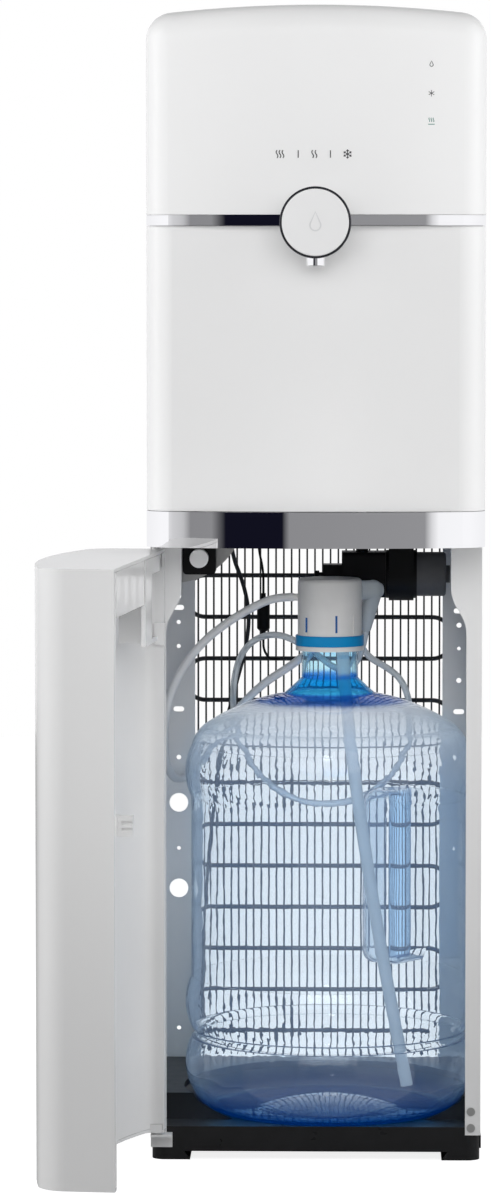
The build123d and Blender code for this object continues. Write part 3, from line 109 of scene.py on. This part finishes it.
def remap(tree, value, start, end, low, high):
    """Value from start to end becomes low to high."""
    return node(tree, "ShaderNodeMapRange", value, start, end, low, high).outputs["Result"]


def ramp(tree, value, stops):
    """Colour ramp; stops hold a position from 0 to 1 and a colour or a level."""
    made = node(tree, "ShaderNodeValToRGB", value)
    elements = made.color_ramp.elements
    while len(elements) < len(stops):
        elements.new(0.5)
    for element, (position, _) in zip(elements, stops):
        element.position = position
    for element, (_, colour) in zip(elements, stops):
        element.color = (colour if isinstance(colour, tuple) else (colour,) * 3) + (1.0,)
    return made.outputs["Color"]


def new_material(name):
    """Material, its node tree and its Principled shader."""
    material = bpy.data.materials.new(name)
    material.use_nodes = True
    return material, material.node_tree, material.node_tree.nodes["Principled BSDF"]


# ---- opaque finishes -------------------------------------------------------------------------------------
TONE_FROM, TONE_TO = 0.3, 0.7
RELIEF_DEPTH = 0.0004


def shade(colour, factor):
    return tuple(max(0.0, min(1.0, c * factor)) for c in colour)


def finish_of(name, colour, rough=0.4, metal=0.0, vary=0.03, grain=35.0, bump=0.05, bump_grain=900.0,
              rough_vary=0.06, stretch=(1.0, 1.0, 1.0), **sockets):
    """Principled material whose colour, roughness and relief vary over the surface."""
    material, tree, shader = new_material(name)
    place = node(tree, "ShaderNodeTexCoord").outputs["Object"]
    spread = node(tree, "ShaderNodeMapping", Vector=place, Scale=stretch).outputs["Vector"]
    wide = node(tree, "ShaderNodeTexNoise", Vector=spread, Scale=grain, Detail=3.0).outputs["Fac"]
    fine = node(tree, "ShaderNodeTexNoise", Vector=spread, Scale=bump_grain, Detail=2.0).outputs["Fac"]
    tone = ramp(tree, wide, [(TONE_FROM, shade(colour, 1.0 - vary)), (TONE_TO, shade(colour, 1.0 + vary))])
    roughness = remap(tree, wide, 0.0, 1.0, max(0.0, rough - rough_vary), min(1.0, rough + rough_vary))
    relief = node(tree, "ShaderNodeBump", Strength=bump, Distance=RELIEF_DEPTH, Height=fine)
    feed(tree, shader.inputs["Base Color"], tone)
    feed(tree, shader.inputs["Roughness"], roughness)
    feed(tree, shader.inputs["Normal"], relief.outputs["Normal"])
    shader.inputs["Metallic"].default_value = metal
    for socket, value in sockets.items():
        shader.inputs[socket.replace("_", " ")].default_value = value
    return material


white_gloss = finish_of("white_gloss", (0.885, 0.885, 0.887), 0.22, vary=0.008, grain=6.0, bump=0.02,
                        rough_vary=0.03, Coat_Weight=0.25, Coat_Roughness=0.08)
# Same white plastic as white_gloss, a little darker: painted shade for the door, which gets less light.
# Even roughness: with a varied one, faint angular patches showed on the door.
shaded_door_white = finish_of("shaded_door_white", (0.82, 0.82, 0.822), 0.26, vary=0.01, grain=6.0, bump=0.02,
                       rough_vary=0.0, Coat_Weight=0.2, Coat_Roughness=0.1)
white_paint = finish_of("white_paint", (0.82, 0.82, 0.822), 0.38, vary=0.012, grain=10.0, bump=0.12,
                        bump_grain=1400.0)
liner = finish_of("liner_plastic", (0.78, 0.78, 0.782), 0.42, vary=0.02, grain=12.0, bump=0.06)
glossy_liner = finish_of("glossy_liner", (0.92, 0.92, 0.922), 0.16, vary=0.02, grain=12.0, bump=0.02,
                         Coat_Weight=0.3)
grey_steel = finish_of("galvanised", (0.42, 0.43, 0.44), 0.42, 0.6, vary=0.07, grain=45.0, bump=0.04)
zinc = finish_of("zinc_plate", (0.55, 0.55, 0.54), 0.34, 0.8, vary=0.05, grain=70.0, bump=0.04)
dark_base = finish_of("dark_base", (0.012, 0.012, 0.013), 0.3, vary=0.12, grain=60.0, bump=0.15,
                      Specular_IOR_Level=0.25)
black = finish_of("black_plastic", (0.004, 0.004, 0.0045), 0.4, vary=0.15, grain=90.0, bump=0.12,
                  Specular_IOR_Level=0.2)
dark_end = finish_of("pump_end", (0.10, 0.10, 0.105), 0.45, vary=0.08, grain=90.0, bump=0.1)
black_wire = finish_of("black_wire", (0.03, 0.031, 0.034), 0.36, 0.2, vary=0.1, grain=80.0, bump=0.1)
chrome = finish_of("chrome", (0.93, 0.93, 0.94), 0.0, 1.0, vary=0.005, grain=20.0, bump=0.0,
                   rough_vary=0.002)
dial_rim = finish_of("dial_rim", (0.05, 0.05, 0.06), 0.2, 0.6, vary=0.05, grain=60.0, bump=0.02)
button_grey = finish_of("button_grey", (0.84, 0.84, 0.845), 0.55, vary=0.01, grain=20.0, bump=0.02,
                        Specular_IOR_Level=0.2)
button_line = finish_of("button_line", (0.70, 0.705, 0.715), 0.3, vary=0.02, grain=60.0)
spring_steel = finish_of("spring_steel", (0.6, 0.6, 0.6), 0.3, 1.0, vary=0.05, grain=80.0)
cap_grey = finish_of("cap_plastic", (0.80, 0.79, 0.775), 0.42, vary=0.04, grain=40.0, bump=0.08)
blue_gloss = finish_of("blue_band", (0.002, 0.27, 0.60), 0.35, vary=0.05, grain=40.0,
                       Specular_IOR_Level=0.3)
milky = finish_of("milky_elbow", (0.66, 0.72, 0.76), 0.2, vary=0.03, grain=40.0, Transmission_Weight=0.35)
white_hose = finish_of("white_hose", (0.78, 0.79, 0.80), 0.34, vary=0.03, grain=60.0, bump=0.05)
clear_hose = finish_of("clear_hose", (0.72, 0.77, 0.81), 0.14, vary=0.03, grain=60.0,
                       Transmission_Weight=0.55)
sheath = finish_of("black_sheath", (0.012, 0.012, 0.013), 0.4, vary=0.1, grain=80.0, bump=0.08)
rubber = finish_of("rubber", (0.02, 0.02, 0.02), 0.6, vary=0.12, grain=60.0, bump=0.15)
tank_steel = finish_of("tank_steel", (0.56, 0.56, 0.57), 0.28, 1.0, vary=0.04, grain=30.0,
                       stretch=(1.0, 1.0, 12.0))
foam = finish_of("foam", (0.76, 0.75, 0.72), 0.8, vary=0.05, grain=120.0, bump=0.4, bump_grain=260.0)
silicone = finish_of("silicone", (0.74, 0.75, 0.76), 0.4, vary=0.02, grain=40.0)
board = finish_of("board", (0.02, 0.09, 0.035), 0.4, vary=0.1, grain=120.0)
red_gloss = finish_of("red_gloss", (0.42, 0.012, 0.012), 0.24, vary=0.04, grain=40.0)
green_gloss = finish_of("green_gloss", (0.01, 0.2, 0.05), 0.24, vary=0.04, grain=40.0)
screw_steel = finish_of("screw_steel", (0.5, 0.5, 0.49), 0.32, 0.9, vary=0.06, grain=120.0)
icon_grey = finish_of("icon_grey", (0.045, 0.045, 0.05), 0.5, vary=0.03, grain=60.0)
slit_blue = finish_of("slit_blue", (0.01, 0.10, 0.34), 0.4, vary=0.05, grain=60.0)
icon_green = finish_of("icon_green", (0.08, 0.24, 0.20), 0.4, vary=0.03, grain=60.0)

# ---- clear plastic of the bottle, its grip and the straw -------------------------------------------------
BAND_TOP = 510.0
BLOTCH_GRAIN, BLOTCH = 16.0, 0.12
RIM_BLEND, RIM_POWER = 0.3, 3.0
RIPPLE_GRAIN, RIPPLE_STRENGTH, RIPPLE_DEPTH = 95.0, 0.35, 0.002
PLASTIC_IOR = 1.35
# Share of the veil that glows: painted light, not lit by any lamp.
VEIL_PAINTED_GLOW = 0.35


def bands(tree, height, stops):
    """Ramp up the object; stops hold a height in millimetres and a colour or a level."""
    share = remap(tree, height, 0.0, BAND_TOP * MM, 0.0, 1.0)
    return ramp(tree, share, [(z / BAND_TOP, value) for z, value in stops])


def veil_of(tree, colour):
    """Milky film: half reflected, half shining through, with a painted glow of its own that stands in for
    light.
    """
    front = node(tree, "ShaderNodeBsdfDiffuse", Color=colour).outputs[0]
    back = node(tree, "ShaderNodeBsdfTranslucent", Color=colour).outputs[0]
    light = node(tree, "ShaderNodeEmission", Color=colour, Strength=1.0).outputs[0]
    return mix(tree, VEIL_PAINTED_GLOW, mix(tree, 0.5, front, back), light)


def blown_plastic(name, tints, veils, covers, ripples, rim=(1.0, 1.0, 1.0)):
    """Clear tinted plastic that bends what is seen through it, lets lamps through and has a pale veil with a
    painted glow.

    Each list holds bands: colours of the plastic and of the veil, the veil's share, the ripples' height.
    """
    material, tree, glass = new_material(name)
    place = node(tree, "ShaderNodeTexCoord").outputs["Object"]
    height = node(tree, "ShaderNodeSeparateXYZ", place).outputs["Z"]
    blotches = node(tree, "ShaderNodeTexNoise", Vector=place, Scale=BLOTCH_GRAIN, Detail=2.0).outputs["Fac"]
    fine = node(tree, "ShaderNodeTexNoise", Vector=place, Scale=RIPPLE_GRAIN, Detail=1.0).outputs["Fac"]

    saturation = remap(tree, blotches, 0.0, 1.0, 1.0 - BLOTCH, 1.0 + BLOTCH)
    mottled = node(tree, "ShaderNodeHueSaturation", Saturation=saturation, Color=bands(tree, height, tints))
    weight = node(tree, "ShaderNodeLayerWeight", Blend=RIM_BLEND)
    steep = maths(tree, "POWER", weight.outputs["Facing"], RIM_POWER)
    tinted = node(tree, "ShaderNodeMix", data_type="RGBA", blend_type="MULTIPLY", Factor=steep,
                  A=mottled.outputs["Color"], B=rim + (1.0,)).outputs["Result"]
    rippled = maths(tree, "MULTIPLY_ADD", fine, bands(tree, height, ripples), blotches)
    relief = node(tree, "ShaderNodeBump", Strength=RIPPLE_STRENGTH, Distance=RIPPLE_DEPTH, Height=rippled)
    feed(tree, glass.inputs["Base Color"], tinted)
    feed(tree, glass.inputs["Normal"], relief.outputs["Normal"])
    glass.inputs["Transmission Weight"].default_value = 1.0
    glass.inputs["Roughness"].default_value = 0.0
    glass.inputs["IOR"].default_value = PLASTIC_IOR

    veil = veil_of(tree, bands(tree, height, veils))
    veiled = mix(tree, bands(tree, height, covers), glass.outputs[0], veil)
    clear = node(tree, "ShaderNodeBsdfTransparent", Color=tinted).outputs[0]
    lamplit = node(tree, "ShaderNodeLightPath").outputs["Is Shadow Ray"]
    feed(tree, tree.nodes["Material Output"].inputs["Surface"], mix(tree, lamplit, veiled, clear))
    return material


BODY_TINT, NECK_TINT = (0.92, 0.965, 0.99), (0.74, 0.94, 0.99)
BOTTLE_TINTS = [(0, (0.14, 0.46, 0.86)), (12, (0.0, 0.17, 0.60)), (34, (0.02, 0.26, 0.68)),
                (46, (0.40, 0.68, 0.90)), (60, BODY_TINT), (340, BODY_TINT), (400, (0.95, 0.97, 0.99)),
                (415, (0.96, 0.975, 0.99)), (422.5, (0.80, 0.86, 0.96)), (424.5, (0.02, 0.14, 0.60)),
                (430.5, (0.05, 0.20, 0.70)), (431, (0.08, 0.60, 0.92)), (445, (0.10, 0.62, 0.93)),
                (446, (0.08, 0.34, 0.84)), (449, (0.12, 0.40, 0.86)), (451, NECK_TINT),
                (464, NECK_TINT), (467, (0.46, 0.76, 0.95)), (470, NECK_TINT), (510, (0.70, 0.92, 0.98))]
PALE, DEEP, CYAN = (0.42, 0.60, 0.92), (0.0, 0.10, 0.42), (0.02, 0.34, 0.78)
# From 385 to 424 mm the veil thickens and turns near white: a painted bright reflection on the shoulder
# dome.
BOTTLE_VEILS = [(0, DEEP), (38, DEEP), (56, PALE), (340, PALE), (400, (0.7, 0.82, 0.95)),
                (421, (0.9, 0.93, 0.98)), (424.5, DEEP), (430.5, DEEP), (431, CYAN), (450, CYAN),
                (455, PALE), (510, PALE)]
BOTTLE_COVERS = [(0, 0.20), (34, 0.16), (46, 0.08), (60, 0.07), (360, 0.07), (385, 0.16), (405, 0.30),
                 (420, 0.34), (424.5, 0.14), (445, 0.12), (455, 0.04), (510, 0.04)]
BOTTLE_RIPPLES = [(0, 0.4), (60, 0.08), (80, 0.08), (88, 0.24), (128, 0.20), (140, 0.03), (318, 0.03),
                  (330, 0.20), (376, 0.24), (388, 0.1), (510, 0.06)]


def over_height(bottom, top):
    """Bands that go evenly from a value at the floor to one at the top."""
    return [(0, bottom), (BAND_TOP, top)]


clear_bottle = blown_plastic("clear_bottle", BOTTLE_TINTS, BOTTLE_VEILS, BOTTLE_COVERS, BOTTLE_RIPPLES,
                             rim=(0.16, 0.62, 0.93))
clear_grip = blown_plastic("clear_grip", over_height((0.46, 0.70, 0.94), (0.50, 0.72, 0.94)),
                           over_height((0.30, 0.56, 0.92), (0.34, 0.58, 0.92)), over_height(0.10, 0.12),
                           over_height(0.1, 0.1))
clear_straw = blown_plastic("clear_straw", over_height((0.90, 0.93, 0.95), (0.90, 0.93, 0.95)),
                            over_height((0.46, 0.56, 0.66), (0.46, 0.56, 0.66)), over_height(0.5, 0.5),
                            over_height(0.0, 0.02))

# ---- which node wears what -------------------------------------------------------------------------------
DRESS = {
    white_gloss: ("upper_front_cover", "top_cover", "lower_front_panel", "bottom_plate", "faucet_body",
                  "door_switch_button"),
    shaded_door_white: ("door_shell", "door_stop"),
    white_paint: ("left_side_panel", "right_side_panel"),
    liner: ("door_liner", "door_latch", "hinge_brackets"),
    glossy_liner: ("door_top_pocket", "door_arm"),
    grey_steel: ("back_panel", "bay_ceiling", "tank_shelf"),
    zinc: ("switch_bracket",),
    dark_base: ("base_tray",),
    black: ("pump_motor", "pump_head", "switch_housing", "rocker_frames", "cord_gland",
            "condenser_clips", "pump_bracket", "filter_drier", "capillary_tube"),
    dark_end: ("pump_end_cap",),
    black_wire: ("condenser_tube", "condenser_wires", "compressor"),
    chrome: ("lower_chrome_band", "upper_chrome_strip", "nozzle"),
    dial_rim: ("dial_ring",),
    button_grey: ("dispense_button",),
    spring_steel: ("button_spring",),
    cap_grey: ("probe_cap",),
    blue_gloss: ("cap_band",),
    milky: ("cap_elbow",),
    rubber: ("compressor_mounts", "hot_tank_feet"),
    tank_steel: ("cold_tank", "hot_tank", "heater_band"),
    foam: ("cold_tank_jacket",),
    silicone: ("water_pipes",),
    board: ("indicator_board",),
    red_gloss: ("heating_rocker",),
    green_gloss: ("cooling_rocker",),
    screw_steel: ("flange_screws",),
    clear_bottle: ("water_bottle",),
    clear_grip: ("bottle_grip",),
    clear_straw: ("suction_straw",),
}


def dress_nodes():
    for material, names in DRESS.items():
        for name in names:
            for place in NODES[name].material_slots:
                place.material = material


dress_nodes()

# ---- hoses and cable: routes and radii in millimetres, lengths in metres ---------------------------------
SUPPLY = [(14, 53, 520.5), (14, 53, 502), (8, 58, 482), (-9, 72, 463), (-30, 87, 446), (-54, 100, 430),
          (-76, 109, 408), (-97, 108, 381), (-115, 96, 355), (-129, 76, 339), (-140, 52, 339),
          (-147, 30, 354), (-148.5, 11, 376), (-147.5, -3, 402), (-141.5, -10, 430), (-129, -14, 456),
          (-110, -16, 480), (-86, -17, 499), (-61, -18, 514), (-40, -18, 523), (-22.8, -18, 523)]
RETURN = [(36, 62, 508), (36, 62, 492), (39, 66, 474), (50, 76, 457), (67, 90, 447), (82, 104, 434),
          (90, 116, 412), (92, 126, 384), (86, 132, 354), (68, 134, 328), (42, 134, 312), (12, 134, 306),
          (-18, 134, 309), (-46, 134, 322), (-68, 133, 344), (-80, 130, 372), (-85, 125, 402),
          (-84, 118, 432), (-77, 108, 458), (-62, 94, 475), (-40, 78, 481), (-16, 63, 472), (4, 53, 457),
          (22, 42, 447), (37, 30, 454), (44, 19.1, 471.6), (47, 12, 490)]
CABLE = [(-88, 100, 587), (-86, 102, 558), (-74, 112, 528), (-68, 120, 496), (-72, 128, 462),
         (-82, 134, 426), (-92, 137, 388), (-101, 137, 348), (-107, 137, 306), (-112, 137, 262),
         (-117, 136, 216), (-121, 134, 170), (-122, 132, 124), (-120, 130, 84), (-119, 129, 51.3)]


def hose(name, points, radius, material, replaced):
    """Smooth round hose along its route, with both ends on the object."""
    data = bpy.data.curves.new(name, "CURVE")
    data.dimensions = "3D"
    data.bevel_depth = radius * MM
    data.bevel_resolution = 5
    data.resolution_u = 10
    data.use_fill_caps = True
    spline = data.splines.new("NURBS")
    spline.points.add(len(points) - 1)
    for spot, point in zip(spline.points, points):
        spot.co = [v * MM for v in point] + [1.0]
    spline.order_u = 3
    spline.use_endpoint_u = True
    data.materials.append(material)
    piece = put(name, data)
    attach(piece, "cabinet")
    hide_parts(replaced)


hose("supply_line", SUPPLY, 4.0, white_hose, "supply_hose")
hose("return_line", RETURN, 3.2, clear_hose, "return_hose")
hose("cable_line", CABLE, 2.0, sheath, "inner_cable")


# ---- marks printed on the upper front, the button and the cap; sizes in millimetres ----------------------
PRINT_HEIGHT = 0.12
ICON_COLUMN = 105.4
DROP_Z, COLD_Z, HEAT_Z = 1023.6, 997.8, 973.6
HEAT_LINE = (969.6, 3.0)
MODE_ROW, MODE_HEIGHT, MODE_SWAY = 942.4, 7.0, 0.8
MODE_HOT, MODE_WARM, MODE_COLD = -32.6, -1.3, 29.0
MODE_DIVIDERS, DIVIDER_HALF = (-16.0, 13.4), 3.4
BUTTON_DROP_Z = 877.4
FORK_AT, FORK_LENGTH, FORK_LEAN = 0.6, 0.32, 55
SMALL_FLAKE = 3.5
SLIT_FOOT = 490.5
SLITS = ((-10.3, 504.5), (18.5, 507.0))


def strokes(name, lines, width, material, under="upper_front_cover", body="cabinet"):
    """Flat printed strokes of that width on the front of the node under them; lines hold X and Z."""
    face = BVHTree.FromObject(NODES[under], bpy.context.evaluated_depsgraph_get())

    def on_front(x, z):
        hit = face.ray_cast(Vector((x * MM, -1.0, z * MM)), Vector((0, 1, 0)))
        return Vector((x * MM, hit[0].y - PRINT_HEIGHT * MM, z * MM))

    vertices, faces = [], []
    for line in lines:
        points = [Vector(p) for p in line]
        first = len(vertices)
        for i, point in enumerate(points):
            before = points[max(i - 1, 0)]
            after = points[min(i + 1, len(points) - 1)]
            along = (after - before).normalized()
            side = Vector((-along.y, along.x)) * width / 2
            for spot in (point + side, point - side):
                vertices.append(on_front(spot.x, spot.y))
        for i in range(len(points) - 1):
            a = first + 2 * i
            faces.append((a, a + 2, a + 3, a + 1))
    data = bpy.data.meshes.new(name)
    data.from_pydata(vertices, [], faces)
    data.materials.append(material)
    piece = put(name, data)
    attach(piece, body)


def arc(x, z, radius, start, stop, count):
    return [(x + radius * cos(radians(start + (stop - start) * i / count)),
             z + radius * sin(radians(start + (stop - start) * i / count))) for i in range(count + 1)]


def wave(x, z, height, sway):
    """Upright line of one wave."""
    return [(x + sway * sin(2 * pi * i / 12), z - height / 2 + height * i / 12) for i in range(13)]


def snowflake(x, z, radius):
    """Six forked arms; a small flake has only the bare arms."""
    lines = []
    for turn in range(6):
        out = radians(90 + 60 * turn)
        lines.append([(x, z), (x + radius * cos(out), z + radius * sin(out))])
        fork = (x + FORK_AT * radius * cos(out), z + FORK_AT * radius * sin(out))
        for lean in (-FORK_LEAN, FORK_LEAN):
            reach = out + radians(lean)
            lines.append([fork, (fork[0] + FORK_LENGTH * radius * cos(reach),
                                 fork[1] + FORK_LENGTH * radius * sin(reach))])
    return lines if radius > SMALL_FLAKE else lines[::3]


def drop_outline(x, z, radius, height):
    """Round belly about (x, z) with straight sides up to a tip."""
    belly = arc(x, z, radius, 155, 385, 20)
    return [belly + [(x, z + height), belly[0], belly[1]]]


def make_icons():
    strokes("icon_drop", drop_outline(ICON_COLUMN, DROP_Z, 1.5, 3.6), 0.7, icon_grey)
    strokes("icon_cold", snowflake(ICON_COLUMN, COLD_Z, 2.9), 0.6, icon_grey)
    heat = [wave(ICON_COLUMN + s, HEAT_Z, 3.8, 0.4) for s in (-1.9, 0.0, 1.9)]
    line_z, line_half = HEAT_LINE
    heat.append([(ICON_COLUMN - line_half, line_z), (ICON_COLUMN + line_half, line_z)])
    strokes("icon_heat", heat, 0.75, icon_green)
    mode = [wave(MODE_HOT + s, MODE_ROW, MODE_HEIGHT, MODE_SWAY) for s in (-2.7, 0.0, 2.7)]
    mode += [wave(MODE_WARM + s, MODE_ROW, MODE_HEIGHT, MODE_SWAY) for s in (-1.5, 1.5)]
    mode += [[(x, MODE_ROW - DIVIDER_HALF), (x, MODE_ROW + DIVIDER_HALF)] for x in MODE_DIVIDERS]
    strokes("icon_modes", mode, 0.95, icon_grey)
    strokes("icon_modes_cold", snowflake(MODE_COLD, MODE_ROW, 4.2), 0.8, icon_grey)
    strokes("dial_drop", drop_outline(0.0, BUTTON_DROP_Z, 4.9, 12.2), 1.3, button_line,
            "dispense_button", "button")
    strokes("cap_slits", [[(x, SLIT_FOOT), (x, top)] for x, top in SLITS], 2.0, slit_blue,
            "probe_cap", "cabinet")


make_icons()

# ---- floor, world and lamps ------------------------------------------------------------------------------
FLOOR_HALF, FLOOR_GLOW = 4.0, 0.84
SKY_FROM, SKY_TO = 0.15, 0.6
SKY_LOW, SKY_HIGH = 1.0, 0.42
AMBIENT = 0.48
# Screens round the studio: degrees from straight ahead of the object, and how bright.
SCREENS = [(-180, 0.9), (-60, 1.0), (-28.6, 1.0), (-28.0, 0.55), (-25.9, 0.52), (-25.4, 0.26),
           (-20.3, 0.27), (-19.2, 0.006), (-7.0, 0.006), (-6.7, 0.55), (-6.0, 0.55), (-5.8, 0.27),
           (22.0, 0.30), (22.8, 0.95), (30, 1.0), (60, 1.0), (180, 0.9)]
PURE_WHITE = (1.0, 1.0, 1.0, 1.0)


def make_floor():
    """White to the camera, but for a faint contact shadow; a mid tone to everything else."""
    h = FLOOR_HALF
    data = bpy.data.meshes.new("floor")
    data.from_pydata([(-h, -h, 0), (h, -h, 0), (h, h, 0), (-h, h, 0)], [], [(0, 1, 2, 3)])
    material = finish_of("floor_pale", (0.5, 0.5, 0.5), 0.9, vary=0.004, grain=3.0, bump=0.0)
    tree = material.node_tree
    shader = tree.nodes["Principled BSDF"]
    path = node(tree, "ShaderNodeLightPath").outputs
    straight = maths(tree, "MAXIMUM", path["Is Camera Ray"], path["Is Transmission Ray"])
    shader.inputs["Emission Color"].default_value = PURE_WHITE
    feed(tree, shader.inputs["Emission Strength"], maths(tree, "MULTIPLY", straight, FLOOR_GLOW))
    data.materials.append(material)
    put("floor", data)


def make_world():
    """White to the camera and through glass; screens to what reflects; even light to the rest."""
    world = bpy.data.worlds.new("studio")
    bpy.context.scene.world = world
    world.use_nodes = True
    tree = world.node_tree
    tree.nodes.clear()
    path = node(tree, "ShaderNodeLightPath").outputs
    place = node(tree, "ShaderNodeTexCoord").outputs["Generated"]
    parts = node(tree, "ShaderNodeSeparateXYZ", place).outputs
    overhead = remap(tree, parts["Z"], SKY_FROM, SKY_TO, SKY_LOW, SKY_HIGH)
    turn = maths(tree, "ARCTAN2", parts["X"], maths(tree, "MULTIPLY", parts["Y"], -1.0))
    wall = ramp(tree, remap(tree, turn, -pi, pi, 0.0, 1.0),
                [((angle + 180) / 360, (level, level, level * 1.01 + 0.008)) for angle, level in SCREENS])
    plain = node(tree, "ShaderNodeBackground", Color=PURE_WHITE, Strength=1.0).outputs[0]
    screens = node(tree, "ShaderNodeBackground", Color=wall, Strength=overhead).outputs[0]
    dimmed = maths(tree, "MULTIPLY", overhead, AMBIENT)
    seen = node(tree, "ShaderNodeBackground", Color=PURE_WHITE, Strength=dimmed).outputs[0]
    for ray, light in (("Is Glossy Ray", screens), ("Is Transmission Ray", plain), ("Is Camera Ray", plain)):
        seen = mix(tree, path[ray], seen, light)
    node(tree, "ShaderNodeOutputWorld", Surface=seen)


def lamp(name, kind, place, aim, power, **settings):
    """Lamp that no reflection shows."""
    data = bpy.data.lights.new(name, kind)
    data.energy = power
    for key, value in settings.items():
        setattr(data, key, value)
    light = put(name, data)
    look_at(light, place, aim)
    light.visible_glossy = False


make_floor()
make_world()
lamp("key_lamp", "AREA", (0.0, -1.6, 1.3), (0.0, 0.0, 1.38), 12.4, shape="RECTANGLE", size=1.5, size_y=0.9)
for side, across in (("left_lamp", -2.6), ("right_lamp", 2.6)):
    lamp(side, "AREA", (across, -0.4, 1.3), (0.0, 0.0, 0.7), 35.0, shape="RECTANGLE", size=1.2, size_y=1.8)
# Soft spot into the bottle bay.
lamp("bay_beam", "SPOT", (0.1, -3.2, 0.5), (0.01, 0.1, 0.42), 80.0, spot_size=radians(10.0),
     spot_blend=0.9, shadow_soft_size=0.2)

bpy.context.scene.view_settings.view_transform = "Standard"
